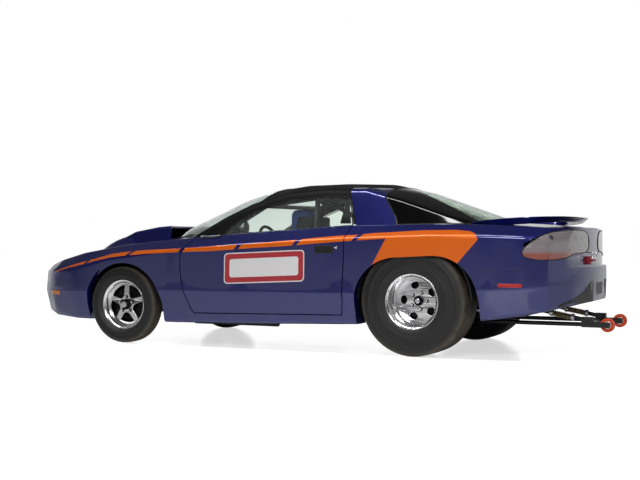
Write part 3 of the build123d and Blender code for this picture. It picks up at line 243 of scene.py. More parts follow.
parts = add_node(tree, "ShaderNodeSeparateXYZ", {0: spot})
along, upward = parts.outputs["X"], parts.outputs["Z"]


def line_height(points, z_low=0.4, z_high=1.0):
    """Gives the height of a line drawn through side view points, for the x being shaded."""
    share = add_node(tree, "ShaderNodeMapRange", {"Value": along, "From Min": band_rear,
                                                  "From Max": band_front})
    ramp = add_node(tree, "ShaderNodeValToRGB", {"Fac": share.outputs[0]})
    stops = ramp.color_ramp.elements
    for number, (x, z) in enumerate(sorted(points)):
        at = (x - band_rear) / (band_front - band_rear)
        stop = stops[number] if number < 2 else stops.new(at)
        stop.position = at
        level = (z - z_low) / (z_high - z_low)
        stop.color = (level, level, level, 1)
    back = add_node(tree, "ShaderNodeMapRange", {"Value": ramp.outputs[0], "To Min": z_low,
                                                 "To Max": z_high})
    return back.outputs[0]


def left_of(first, second):
    """Masks what lies on the left of the line from the first side view point to the second."""
    (xa, za), (xb, zb) = first, second
    reach = add_node(tree, "ShaderNodeVectorMath", {0: spot, 1: (za - zb, 0, xb - xa)},
                     operation="DOT_PRODUCT")
    return add_node(tree, "ShaderNodeMath", {0: reach.outputs["Value"], 1: za * (xb - xa) - xa * (zb - za)},
                    operation="GREATER_THAN").outputs[0]


def behind_of(x):
    """Masks what lies behind a place along the car."""
    return left_of((x, 0), (x, 1))


def ahead_of(x):
    """Masks what lies ahead of a place along the car."""
    return left_of((x, 1), (x, 0))


def overlaid(operation, *masks):
    """Lays masks over each other: MINIMUM keeps what all of them show, MAXIMUM what any shows."""
    shown = masks[0]
    for mask in masks[1:]:
        shown = add_node(tree, "ShaderNodeMath", {0: shown, 1: mask}, operation=operation).outputs[0]
    return shown


def in_panel(middle, half_size, corner, lean):
    """Masks a rounded rectangle drawn in side view, with its long edges leaning by the slope given."""
    level = add_node(tree, "ShaderNodeVectorMath", {0: spot, 1: (-lean, 0, 1)}, operation="DOT_PRODUCT")
    leaned = add_node(tree, "ShaderNodeCombineXYZ", {0: along, 2: level.outputs["Value"]})
    centre = (middle[0], 0, middle[1] - lean * middle[0])
    moved = add_node(tree, "ShaderNodeVectorMath", {0: leaned.outputs[0], 1: centre},
                     operation="SUBTRACT")
    folded = add_node(tree, "ShaderNodeVectorMath", {0: moved.outputs[0]}, operation="ABSOLUTE")
    straight = (half_size[0] - corner, 0, half_size[1] - corner)
    past = add_node(tree, "ShaderNodeVectorMath", {0: folded.outputs[0], 1: straight},
                    operation="SUBTRACT")
    outside = add_node(tree, "ShaderNodeVectorMath", {0: past.outputs[0], 1: (0, 0, 0)},
                       operation="MAXIMUM")
    reach = add_node(tree, "ShaderNodeVectorMath", {0: outside.outputs[0]}, operation="LENGTH")
    return add_node(tree, "ShaderNodeMath", {0: reach.outputs["Value"], 1: corner},
                    operation="LESS_THAN").outputs[0]


low_line = line_height(band_low)
below_top = add_node(tree, "ShaderNodeMath", {0: upward, 1: line_height(band_top)},
                     operation="LESS_THAN").outputs[0]
above_low = add_node(tree, "ShaderNodeMath", {0: upward, 1: low_line},
                     operation="GREATER_THAN").outputs[0]
band = overlaid("MINIMUM", below_top, above_low, behind_of(2.18), ahead_of(-0.72))
over_arch = overlaid("MINIMUM", left_of((-0.872, 0.696), (-0.958, 0.852)), behind_of(-0.748))
flag = overlaid("MINIMUM", below_top, left_of((-1.664, 0.862), (-1.502, 0.676)), ahead_of(-1.664),
                behind_of(-0.65), overlaid("MAXIMUM", above_low, over_arch))
rise = add_node(tree, "ShaderNodeMath", {0: upward, 1: low_line}, operation="SUBTRACT")
slant = add_node(tree, "ShaderNodeMath", {0: rise.outputs[0], 1: gap_slant, 2: along},
                 operation="MULTIPLY_ADD")
gaps = [add_node(tree, "ShaderNodeMath", {0: slant.outputs[0], 1: gap, 2: gap_half_width},
                 operation="COMPARE").outputs[0] for gap in gap_places]
uncut = add_node(tree, "ShaderNodeMath", {0: 1.0, 1: overlaid("MAXIMUM", *gaps)}, operation="SUBTRACT")
facing = add_node(tree, "ShaderNodeSeparateXYZ", {0: place.outputs["Normal"]})
across = parts.outputs["Y"]
turned_out = add_node(tree, "ShaderNodeMath", {0: facing.outputs["Y"], 1: across}, operation="MULTIPLY")
outward = add_node(tree, "ShaderNodeMath", {0: turned_out.outputs[0], 1: 0.05}, operation="GREATER_THAN")
apart = add_node(tree, "ShaderNodeMath", {0: across}, operation="ABSOLUTE")
on_side = add_node(tree, "ShaderNodeMath", {0: apart.outputs[0], 1: 0.60}, operation="GREATER_THAN")
aside = overlaid("MINIMUM", on_side.outputs[0], outward.outputs[0])
flat_colour = overlaid("MINIMUM", overlaid("MAXIMUM", band, flag), uncut.outputs[0], aside)
flake = add_node(tree, "ShaderNodeTexVoronoi", {"Vector": spot, "Scale": 900.0})
flake_tone = add_node(tree, "ShaderNodeMapRange", {"Value": flake.outputs["Distance"], "From Max": 0.6})
indigo = add_node(tree, "ShaderNodeMix", {0: flake_tone.outputs[0], 6: linear("#0d1a80"),
                                          7: linear("#08105a")}, data_type="RGBA")
colour = add_node(tree, "ShaderNodeMix", {0: flat_colour, 6: indigo.outputs[2], 7: linear("#e06400")},
                  data_type="RGBA")
for half_size, corner, tint in sign_layers:
    inside = overlaid("MINIMUM", in_panel(sign_middle, half_size, corner, sign_lean), aside)
    colour = add_node(tree, "ShaderNodeMix", {0: inside, 6: colour.outputs[2], 7: linear(tint)},
                      data_type="RGBA")
    flat_colour = overlaid("MAXIMUM", flat_colour, inside)
tree.links.new(colour.outputs[2], principled.inputs["Base Color"])
metal = add_node(tree, "ShaderNodeMapRange", {"Value": flat_colour, "To Min": 0.6, "To Max": 0.35})
tree.links.new(metal.outputs[0], principled.inputs["Metallic"])
clear = add_node(tree, "ShaderNodeMapRange", {"Value": flat_colour, "To Min": 1.0, "To Max": 0.3})
tree.links.new(clear.outputs[0], principled.inputs["Coat Weight"])
cloud = add_node(tree, "ShaderNodeTexNoise", {"Vector": spot, "Scale": 3.0, "Detail": 2.0})
uneven = add_node(tree, "ShaderNodeMapRange", {"Value": cloud.outputs[0], "To Min": 0.28, "To Max": 0.38})
tree.links.new(uneven.outputs[0], principled.inputs["Roughness"])
dress(["nose_cover", "hood", "cowl_panel", "fender_left", "fender_right", "door_left", "door_right",
       "quarter_panel_left", "quarter_panel_right", "rear_cover", "deck_lid"], body_paint)

# Roof with its pillars: pressed steel under a satin black wrap film, which meets the indigo at the sail
# panels. The film spreads every highlight, so the roof looks soft beside the lacquer.
roof_paint, tree, principled = finish_of("satin_black_roof_wrap", "#08080a", 0.5, 0.0,
                                         Specular_IOR_Level=0.12)
grain(tree, principled, 0.4, 0.45, 0.6)
dress(["roof_panel"], roof_paint)

# Window glass: laminated windshield and door panes with a faint green tint, bonded into their openings.
# The panes are slightly wavy, which bends what shows in them and through them a little.
glass, tree, principled = finish_of("green_tinted_pane", "#eef6f1", 0.02, 0.0, Transmission_Weight=1.0,
                                    IOR=1.45)
grain(tree, principled, 0.5, 0.012, 0.035)
dress(["windshield", "door_glass_left", "door_glass_right"], glass)


# Rubber seals: black extruded cords round each pane, pressed in along the pane's cut edge.
# They are matt, so they draw a thin dark line between glass and paint.
def beading_group(radius):
    """Makes the modifier group that lays a round bead along a mesh's edges."""
    group = bpy.data.node_groups.new("bead", "GeometryNodeTree")
    group.interface.new_socket("Geometry", in_out="INPUT", socket_type="NodeSocketGeometry")
    group.interface.new_socket("Geometry", in_out="OUTPUT", socket_type="NodeSocketGeometry")
    start = add_node(group, "NodeGroupInput")
    line = add_node(group, "GeometryNodeMeshToCurve", {0: start.outputs[0]})
    ring = add_node(group, "GeometryNodeCurvePrimitiveCircle", {"Resolution": 8, "Radius": radius})
    tube = add_node(group, "GeometryNodeCurveToMesh", {"Curve": line.outputs[0],
                                                       "Profile Curve": ring.outputs[0],
                                                       "Fill Caps": True})
    smooth = add_node(group, "GeometryNodeSetShadeSmooth", {"Geometry": tube.outputs[0]})
    add_node(group, "NodeGroupOutput", {0: smooth.outputs[0]})
    return group


def place_piece(name, mesh, body, material=None):
    """Adds a finished mesh as a piece that rides on a body."""
    piece = bpy.data.objects.new(name, mesh)
    scene.collection.objects.link(piece)
    if material:
        mesh.materials.clear()
        mesh.materials.append(material)
    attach(piece, body)
    return piece


def beaded(name, bm, radius, body, material):
    """Lays a round bead along the edges that are left in a mesh."""
    piece = place_piece(name, finished(name, bm), body)
    modifier = piece.modifiers.new("bead", "NODES")
    modifier.node_group = beading_group(radius)
    bpy.context.view_layer.update()
    solid = bpy.data.meshes.new_from_object(piece.evaluated_get(bpy.context.evaluated_depsgraph_get()))
    piece.modifiers.clear()
    piece.data = solid
    solid.materials.clear()
    solid.materials.append(material)
    return piece


def seal_along(name, node_name, body, radius, inside, material):
    """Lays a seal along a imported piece's sharp edges that lie on its outer skin."""
    bm = bmesh.new()
    bm.from_mesh(nodes[node_name].data)
    bmesh.ops.remove_doubles(bm, verts=bm.verts, dist=0.00002)
    bm.normal_update()
    middle = Vector(inside)
    keep = set()
    for edge in bm.edges:
        if len(edge.link_faces) != 2 or edge.calc_face_angle(0) < 0.9:
            continue
        outer = max(face.normal.dot((face.calc_center_median() - middle).normalized())
                    for face in edge.link_faces)
        if outer > 0.35:
            keep.add(edge)
    bmesh.ops.delete(bm, geom=bm.faces[:], context="FACES_ONLY")
    bmesh.ops.delete(bm, geom=[e for e in bm.edges if e not in keep], context="EDGES")
    return beaded(name, bm, radius, body, material)


rubber, tree, principled = finish_of("black_rubber_seal", "#0b0b0b", 0.55)
grain(tree, principled, 0.004, 0.45, 0.65, bump=0.0001)
seal_along("windshield_seal", "windshield", "car_body", 0.004, (0, 0, 0.4), rubber)
seal_along("hatch_glass_seal", "hatch_glass", "hatch", 0.0035, (-0.8, 0, 0.4), rubber)
seal_along("door_glass_seal_left", "door_glass_left", "door_left", 0.0035, (0, 0, 0.6), rubber)
seal_along("door_glass_seal_right", "door_glass_right", "door_right", 0.0035, (0, 0, 0.6), rubber)


# Slick tyres: wide smooth-treaded racing tyres on soft sidewalls, in dull black rubber that is dusted
# brown where it met the strip. Each is moulded in one piece and spun here from one section, with moulding
# rings on the wall.
def shaded(bm, sharp=math.pi):
    """Smooths a form's faces, and keeps the edges sharp that bend by more than the angle given."""
    for face in bm.faces:
        face.smooth = True
    for edge in bm.edges:
        edge.smooth = len(edge.link_faces) == 2 and edge.calc_face_angle(0) <= sharp


def spun(name, section, x, middle_y, height, steps, side=1):
    """Spins a closed section of (across, radius) points about a wheel's axle."""
    bm = bmesh.new()
    ring = [bm.verts.new((x, middle_y + side * across, height + radius)) for across, radius in section]
    loop = [bm.edges.new((ring[i], ring[(i + 1) % len(ring)])) for i in range(len(ring))]
    bmesh.ops.spin(bm, geom=ring + loop, cent=(x, middle_y, height), axis=(0, 1, 0), angle=2 * math.pi,
                   steps=steps, use_merge=True)
    bmesh.ops.remove_doubles(bm, verts=bm.verts, dist=0.00001)
    bmesh.ops.recalc_face_normals(bm, faces=bm.faces)
    shaded(bm)
    return finished(name, bm)


def tyre_section(width, tread, bead_radius, rim_half, radius, points=7):
    """Draws a tyre's section: beads, bulging walls with rings, shoulders and a slightly crowned tread."""
    wall = [
        (rim_half - 0.012, bead_radius), (rim_half - 0.011, bead_radius + 0.017),
        (rim_half + 0.001, bead_radius + 0.024),
    ]
    top = radius - 0.016
    for number in range(1, points + 1):
        share = number / points
        bulge = math.sin(math.pi * (0.16 + 0.72 * share)) ** 0.8
        across = rim_half + 0.001 + (width / 2 - rim_half - 0.001) * bulge
        across = across + (tread / 2 + 0.008 - across) * share ** 3
        up = bead_radius + 0.024 + (top - bead_radius - 0.024) * share
        wall.append((across, up))
        if number in (2, 5):
            wall.append((across + 0.0022, up + 0.003))
            wall.append((across + 0.0004, up + 0.006))
    wall.append((tread / 2 + 0.002, radius - 0.007))
    wall.append((tread / 2 - 0.006, radius - 0.002))
    wall.append((tread / 4, radius - 0.0004))
    return wall + [(0.0, radius)] + [(-across, up) for across, up in reversed(wall)]


slick, tree, principled = finish_of("slick_tyre_rubber", "#121212", 0.62)
place = add_node(tree, "ShaderNodeTexCoord")
dust_noise = add_node(tree, "ShaderNodeTexNoise", {"Vector": place.outputs["Object"], "Scale": 18.0,
                                                   "Detail": 6.0})
on_tread = add_node(tree, "ShaderNodeAttribute", attribute_name="tread_share")
dust = add_node(tree, "ShaderNodeMath", {0: dust_noise.outputs[0], 1: on_tread.outputs["Fac"]},
                operation="MULTIPLY")
brown = add_node(tree, "ShaderNodeMix", {0: dust.outputs[0], 6: linear("#141414"), 7: linear("#6a5f50")},
                 data_type="RGBA")
tree.links.new(brown.outputs[2], principled.inputs["Base Color"])
grain(tree, principled, 0.0025, 0.48, 0.75, bump=0.00015)

sides = (("left", 1), ("right", -1))
wheels = [(end, hand, side) for end in ("front", "rear") for hand, side in sides]
tread_width = {"front": 0.120, "rear": 0.306}
rim_half = {"front": 0.0575, "rear": 0.166}
bead_radius = 0.1905
for end, hand, side in wheels:
    low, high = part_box(f"tyre_{end}_{hand}")
    centre, radius = (low + high) / 2, (high.z - low.z) / 2
    width = high.y - low.y - 0.002
    section = tyre_section(width, tread_width[end], bead_radius, rim_half[end], radius - 0.0005)
    mesh = spun(f"slick_{end}_{hand}", section, centre.x, centre.y, centre.z, 96)
    share = mesh.attributes.new("tread_share", "FLOAT", "POINT")
    for number, vertex in enumerate(mesh.vertices):
        out = math.hypot(vertex.co.x - centre.x, vertex.co.z - centre.z)
        share.data[number].value = max(0.0, min(1.0, (out - radius + 0.022) / 0.012)) * 0.9
    piece = place_piece(f"slick_{end}_{hand}", mesh, f"wheel_{end}_{hand}", slick)
    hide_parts(f"tyre_{end}_{hand}")

# Rims: forged and polished aluminium, spun barrels and lips round centres cut by windows, held by five
# nuts. The front ones are five-spoke stars and the rear ones deep dishes with bolted outer rings. The
# metal mirrors the cove, and dull black steel fills the hubs, the nuts' pockets and the brakes. The
# brakes are made wide and near black so that they paint the shade inside the barrels, seen through the
# windows.
polished, tree, principled = finish_of("polished_aluminium", "#e2e2e4", 0.2, 1.0)
grain(tree, principled, 0.003, 0.17, 0.24)
# Dull black steel for the hubs, the nuts' pockets and the bolts. On the brakes it is also painted shade
# inside the barrels.
dark_steel_and_shade, tree, principled = finish_of("dark_steel_and_painted_shade", "#17171a", 0.35, 0.9)
grain(tree, principled, 0.005, 0.28, 0.45)


def flat_form(name, outlines, depth, edge):
    """Cuts a flat form from closed outlines, the later ones being holes, and rounds its edges."""
    curve = bpy.data.curves.new(name, "CURVE")
    curve.dimensions = "2D"
    curve.fill_mode = "BOTH"
    curve.extrude = depth / 2 - edge
    curve.bevel_depth = edge
    curve.bevel_resolution = 2
    curve.resolution_u = 6
    for points in outlines:
        spline = curve.splines.new("POLY")
        spline.points.add(len(points) - 1)
        spline.use_cyclic_u = True
        for point, (px, py) in zip(spline.points, points):
            point.co = (px, py, 0, 1)
    holder = bpy.data.objects.new(name, curve)
    scene.collection.objects.link(holder)
    bpy.context.view_layer.update()
    mesh = bpy.data.meshes.new_from_object(holder.evaluated_get(bpy.context.evaluated_depsgraph_get()))
    bpy.data.objects.remove(holder)
    bpy.data.curves.remove(curve)
    return mesh


def circle_points(radius, count=8, centre=(0, 0)):
    """Gives the points of a round outline."""
    turns = [2 * math.pi * i / count for i in range(count)]
    return [(centre[0] + radius * math.cos(turn), centre[1] + radius * math.sin(turn)) for turn in turns]


def turned_points(points, angle):
    """Turns an outline about the wheel's centre."""
    c, s = math.cos(angle), math.sin(angle)
    return [(px * c - py * s, px * s + py * c) for px, py in points]


def onto_wheel(mesh, x, y, z, side):
    """Stands a flat form on a wheel's plane, facing out."""
    mesh.transform(Matrix(((1, 0, 0, x), (0, 0, side, y), (0, 1, 0, z), (0, 0, 0, 1))))
    if side > 0:
        mesh.flip_normals()
    return mesh


def joined(name, meshes):
    """Joins meshes, with the materials that each holds."""
    bm = bmesh.new()
    materials = []
    for mesh in meshes:
        start = len(bm.faces)
        own = list(mesh.materials)
        for material in own:
            if material not in materials:
                materials.append(material)
        bm.from_mesh(mesh)
        bm.faces.ensure_lookup_table()
        for face in bm.faces[start:]:
            face.material_index = materials.index(own[face.material_index]) if own else 0
    result = finished(name, bm)
    for material in materials:
        result.materials.append(material)
    return result


def rounded(bm, offset, bend=1.0, segments=2):
    """Rounds the edges of a form that bend by more than the angle given."""
    rims = [e for e in bm.edges if len(e.link_faces) == 2 and e.calc_face_angle(0) > bend]
    bmesh.ops.bevel(bm, geom=rims, offset=offset, offset_type="OFFSET", segments=segments, profile=0.5,
                    affect="EDGES", material=-1, clamp_overlap=True)


def round_bar(x, y, z, radius, length, side, material, segments=24, bevel=0.0015):
    """Makes a round stub that stands out from a wheel's plane along the axle."""
    bm = bmesh.new()
    bmesh.ops.create_cone(bm, cap_ends=True, segments=segments, radius1=radius, radius2=radius,
                          depth=length)
    rounded(bm, bevel)
    bmesh.ops.rotate(bm, verts=bm.verts, cent=(0, 0, 0), matrix=Matrix.Rotation(math.pi / 2, 3, "X"))
    bmesh.ops.translate(bm, verts=bm.verts, vec=(x, y + side * length / 2, z))
    mesh = finished("stub", bm)
    mesh.materials.append(material)
    return mesh


def cornered(corners, reach=0.35):
    """Rounds an outline's corners, each cut back by a share of the way to its neighbours."""
    made = []
    for number, corner in enumerate(corners):
        before, after = Vector(corners[number - 1]), Vector(corners[(number + 1) % len(corners)])
        here = Vector(corner)
        start, end = here.lerp(before, reach), here.lerp(after, reach)
        for step in range(5):
            share = step / 4
            made.append(tuple(start.lerp(here, share).lerp(here.lerp(end, share), share)))
    return made


star_window = cornered([(0.070, 0.0225), (0.142, 0.083), (0.1615, 0.045), (0.168, 0.0), (0.1615, -0.045),
                        (0.142, -0.083), (0.070, -0.0225), (0.064, 0.0)], 0.22)
dish_window = cornered([(0.086, 0.0), (0.106, 0.036), (0.143, 0.030), (0.149, 0.0), (0.143, -0.030),
                        (0.106, -0.036)], 0.3)
rim_centres = {  # window, its turn, the nuts' turn, depth behind the lip, crown, hub radius, cap radius
    "front": (star_window, 54, 18, 0.058, 0.010, 0.044, 0.026),
    "rear": (dish_window, 3, 39, 0.170, 0.014, 0.037, 0.019),
}
disc_radius, disc_thickness, nut_circle, bolt_circle = 0.1845, 0.013, 0.062, 0.1935
for end, hand, side in wheels:
    window, window_turn, nut_turn, depth, crown, hub_radius, cap_radius = rim_centres[end]
    low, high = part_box(f"tyre_{end}_{hand}")
    x, middle_y, z = (low + high) / 2
    half = rim_half[end]
    lip = middle_y + side * half
    face_y = lip - side * depth
    shell = [(-half, 0.183), (-half, 0.207), (-half + 0.006, 0.2075), (-half + 0.012, 0.191),
             (half - 0.018, 0.1895), (half - 0.008, 0.2075), (half - 0.002, 0.2078), (half, 0.204),
             (half - 0.003, 0.199), (half - 0.016, 0.183)]
    barrel = spun("barrel", shell, x, middle_y, z, 72, side)
    barrel.materials.append(polished)
    outlines = [circle_points(disc_radius, 48)]
    outlines += [turned_points(window, math.radians(window_turn + 72 * number)) for number in range(5)]
    disc = flat_form("disc", outlines, disc_thickness, 0.003)
    for vertex in disc.vertices:
        out = math.hypot(vertex.co.x, vertex.co.y) / disc_radius
        vertex.co.z += crown * (1 - out ** 2) - disc_thickness / 2
    disc.materials.append(polished)
    # Brake disc: near black and wide, as painted shade inside the barrel behind the windows.
    brake_and_shade = spun("brake_and_shade", [(0.0, 0.06), (0.0, 0.152), (-0.010, 0.152), (-0.010, 0.06)], x,
                 face_y - side * 0.014, z, 64, side)
    brake_and_shade.materials.append(dark_steel_and_shade)
    pieces = [barrel, onto_wheel(disc, x, face_y, z, side), brake_and_shade]
    pieces.append(round_bar(x, face_y, z, hub_radius, 0.026, side, dark_steel_and_shade, 32, 0.004))
    pieces.append(round_bar(x, face_y, z, cap_radius, 0.050, side, polished, 32, 0.005))
    for across, up in turned_points(circle_points(nut_circle, 5), math.radians(nut_turn)):
        pieces.append(round_bar(x + across, face_y, z + up, 0.014, 0.0135, side, dark_steel_and_shade, 20, 0.001))
        pieces.append(round_bar(x + across, face_y, z + up, 0.0095, 0.026, side, polished, 6))
    if end == "rear":
        for across, up in circle_points(bolt_circle, 16):
            pieces.append(round_bar(x + across, lip - side * 0.0065, z + up, 0.0042, 0.0055, side,
                                    dark_steel_and_shade, 8, 0.0008))
    else:
        pieces.append(round_bar(x + 0.150, face_y, z - 0.012, 0.004, 0.020, side, dark_steel_and_shade, 10, 0.001))
    name = f"polished_rim_{end}_{hand}"
    rim = place_piece(name, joined(name, pieces), f"wheel_{end}_{hand}")
    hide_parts(f"rim_{end}_{hand}")

# Chassis: floor, rails, tyre tubs and exhausts, pressed and folded steel that is welded up and bolted
# below the body. The satin black paint is brushed on thick, so it is slightly uneven and keeps what lies
# under the car dark.
chassis, tree, principled = finish_of("satin_chassis_paint", "#121214", 0.5)
grain(tree, principled, 0.03, 0.4, 0.62, bump=0.0003)
dress(["floor_pan", "rear_floor", "subframe", "exhausts"], chassis)

# Tubes: the cage, arms, axle and wheelie bar, welded steel tube in gloss black powder coat. Baked powder
# leaves a faint orange peel, so each tube shows one long soft highlight.
tube_coat, tree, principled = finish_of("black_powder_coat", "#0b0b0d", 0.28, 0.0, Coat_Weight=0.4,
                                        Coat_Roughness=0.2)
grain(tree, principled, 0.006, 0.22, 0.36, bump=0.0001)
dress(["roll_cage", "rear_axle", "front_arms", "wheelie_bar"], tube_coat)

# Running gear: the engine's and the gearbox's masses and the steering knuckles, bare cast iron and
# machined steel. The skin left by sand casting is grey and dull, with a fine pitting.
cast, tree, principled = finish_of("machined_cast_iron", "#5c5d60", 0.45, 0.85)
grain(tree, principled, 0.008, 0.35, 0.6, bump=0.0003)
dress(["engine_block", "drive_line", "knuckle_left", "knuckle_right"], cast)

# Dashboard and column: moulded in black ABS with a leather-like grain, screwed to the cowl. The grain
# takes away the shine, so it stays a dark shape behind the glass.
moulded, tree, principled = finish_of("grained_abs_moulding", "#101011", 0.55)
grain(tree, principled, 0.003, 0.45, 0.7, bump=0.0003)
dress(["dashboard", "steering_column"], moulded)

# Steering wheel: a foam grip round a steel rim on three spokes, held by a nut on the column. The foam is
# dull and slightly pitted.
grip, tree, principled = finish_of("foam_grip", "#0c0c0c", 0.8)
grain(tree, principled, 0.004, 0.7, 0.9, bump=0.0004)
dress(["steering_wheel"], grip)

# Rollers: cast urethane tyres on the wheelie bar's pins, which turn only when the nose lifts. The
# orange-red rubber is smooth and half glossy, with a few scuffs.
urethane, tree, principled = finish_of("cast_urethane", "#c9431a", 0.4)
grain(tree, principled, 0.01, 0.32, 0.5, bump=0.0003)
dress(["roller_left", "roller_right"], urethane)

# Battery switch: the lever that cuts the current from outside, screwed to the rear cover between the
# lamps. It is moulded in red plastic with a mild gloss.
switch_plastic, tree, principled = finish_of("red_switch_moulding", "#8d1020", 0.3)
grain(tree, principled, 0.01, 0.24, 0.4)
dress(["kill_switch"], switch_plastic)

# Driver's seat: a folded alloy shell under a padded woven cover, its edges rolled and laced on. The weave
# is drawn coarser than the real 1 mm threads, so that it shows as a matt cloth.
cover, tree, principled = finish_of("woven_seat_cover", "#15171f", 0.85)
place = add_node(tree, "ShaderNodeTexCoord")
warp, weft = (add_node(tree, "ShaderNodeTexWave", {"Vector": place.outputs["Object"], "Scale": 160.0},
                       bands_direction=direction) for direction in "YZ")
cloth = add_node(tree, "ShaderNodeMath", {0: warp.outputs[0], 1: weft.outputs[0]}, operation="MULTIPLY")
relief = add_node(tree, "ShaderNodeBump", {"Height": cloth.outputs[0], "Strength": 0.6,
                                           "Distance": 0.001})
tree.links.new(relief.outputs[0], principled.inputs["Normal"])
rough = add_node(tree, "ShaderNodeMapRange", {"Value": cloth.outputs[0], "To Min": 0.75, "To Max": 0.95})
tree.links.new(rough.outputs[0], principled.inputs["Roughness"])
bm = bmesh.new()
bm.from_mesh(nodes["driver_seat"].data)
bmesh.ops.remove_doubles(bm, verts=bm.verts, dist=0.00002)
bmesh.ops.dissolve_limit(bm, angle_limit=0.02, verts=bm.verts, edges=bm.edges)
rounded(bm, 0.016, 0.3, 4)
shaded(bm)
seat = place_piece("seat_cover", finished("seat_cover", bm), "car_body", cover)
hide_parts("driver_seat")

# Hatch glass: one large bent pane in a hinged frame. It is greener than the others because it is thick,
# and a wide band of black ceramic frit is fired onto its sides and front edge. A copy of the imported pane
# is cut along the band's edge.
hatch_pane, tree, principled = finish_of("thick_green_pane", "#b9ccbc", 0.03, 0.0,
                                         Transmission_Weight=1.0, IOR=1.45)
grain(tree, principled, 0.5, 0.02, 0.05)
frit, tree, principled = finish_of("black_ceramic_frit", "#060607", 0.08, 0.0, Specular_IOR_Level=0.4)
grain(tree, principled, 0.3, 0.05, 0.12)
bm = bmesh.new()
bm.from_mesh(nodes["hatch_glass"].data)
bmesh.ops.remove_doubles(bm, verts=bm.verts, dist=0.00002)
corner_half_width = 0.52
band_edge = {side: (Vector((-0.85, side * 0.12, 0)), Vector((0.40, side * 0.75, 0)).normalized())
             for side in (1, -1)}
corner_edge = [(Vector((0, side * corner_half_width, 0)), Vector((0, 1, 0))) for side in (1, -1)]
for point, across in list(band_edge.values()) + corner_edge:
    bmesh.ops.bisect_plane(bm, geom=bm.verts[:] + bm.edges[:] + bm.faces[:], plane_co=point,
                           plane_no=across)
for face in bm.faces:
    middle = face.calc_center_median()
    point, across = band_edge[1 if middle.y > 0 else -1]
    face.material_index = int((middle - point).dot(across) > 0 or abs(middle.y) > corner_half_width)
shaded(bm, 0.5)
mesh = finished("banded_hatch_glass", bm)
mesh.materials.append(hatch_pane)
mesh.materials.append(frit)
pane = place_piece("banded_hatch_glass", mesh, "hatch")
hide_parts("hatch_glass")


# Rear wing: a thin horseshoe blade, moulded hollow and bolted to the deck on two feet, in the body's
# lacquer. It runs along the hatch's sides and across the deck's tail, and its sharp lip catches a bright
# line.
def lofted(name, rings):
    """Bridges closed rings of points into one skin and closes its ends."""
    bm = bmesh.new()
    loops = []
    for ring in rings:
        verts = [bm.verts.new(point) for point in ring]
        loops.append([bm.edges.new((verts[i - 1], verts[i])) for i in range(len(verts))])
    for before, after in zip(loops, loops[1:]):
        bmesh.ops.bridge_loops(bm, edges=before + after)
    bmesh.ops.holes_fill(bm, edges=loops[0] + loops[-1], sides=0)
    bmesh.ops.recalc_face_normals(bm, faces=bm.faces)
    shaded(bm, 0.6)
    return finished(name, bm)


wing_line = [  # x, y, half chord, top, underside
    (-1.52, 0.585, 0.006, 0.990, 0.976), (-1.65, 0.622, 0.020, 1.003, 0.970),
    (-1.80, 0.648, 0.038, 1.015, 0.966), (-1.93, 0.632, 0.058, 1.023, 0.972),
    (-2.02, 0.560, 0.074, 1.027, 0.982), (-2.08, 0.420, 0.085, 1.030, 0.988),
    (-2.105, 0.200, 0.090, 1.0305, 0.992), (-2.110, 0.0, 0.091, 1.0305, 0.992),
]
rings = []
for number, (x, y, half, top, under) in enumerate(wing_line):
    before, after = wing_line[max(number - 1, 0)], wing_line[min(number + 1, len(wing_line) - 1)]
    run = Vector((after[0] - before[0], after[1] - before[1], 0)).normalized()
    out = Vector((run.y, -run.x, 0))
    out = -out if out.dot(Vector((x + 1.7, y, 0))) < 0 else out
    if number == len(wing_line) - 1:
        out = Vector((-1, 0, 0))
    at = Vector((x, y, 0))
    profile = ((1.0, top - 0.003), (0.96, top), (0.2, top - 0.003), (-0.9, top - 0.012),
               (-1.0, (top + under) / 2), (-0.8, under), (0.45, under), (0.93, top - 0.008))
    rings.append([tuple(at + out * half * share + Vector((0, 0, up))) for share, up in profile])
rings += [[(x, -y, z) for x, y, z in ring] for ring in reversed(rings[:-1])]
wing = place_piece("horseshoe_wing", lofted("horseshoe_wing", rings), "hatch", body_paint)
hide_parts("spoiler")


# Tail lamps: smoked clear covers over ribbed reflectors, red at the foot, wrapped round the tail's
# corners. Each is a thin glossy moulding pressed into a rubber gasket, so it reads as one dark drop with
# its bulbs showing behind.
def skin_of(*names):
    """Gathers packed panels into one surface."""
    bm = bmesh.new()
    for name in names:
        bm.from_mesh(nodes[name].data)
    skin = BVHTree.FromBMesh(bm)
    bm.free()
    return skin


def round_tail(side):
    """Aims in at the tail's corner from all round, by degrees and height."""
    def aim(first, second):
        out = Vector((-math.cos(math.radians(first)), side * math.sin(math.radians(first)), 0))
        return Vector((-1.85, side * 0.45, second)) + out, -out
    return aim


def on_skin(skin, aim, first, second, proud):
    """Finds the place on a surface that is aimed at, raised by the height given."""
    start, towards = aim(first, second)
    hit, normal, _, _ = skin.ray_cast(start, towards)
    if hit is None:
        hit, normal, _, _ = skin.find_nearest(start + towards * 0.35)
    if normal.dot(towards) > 0:
        normal = -normal
    return hit + normal * proud


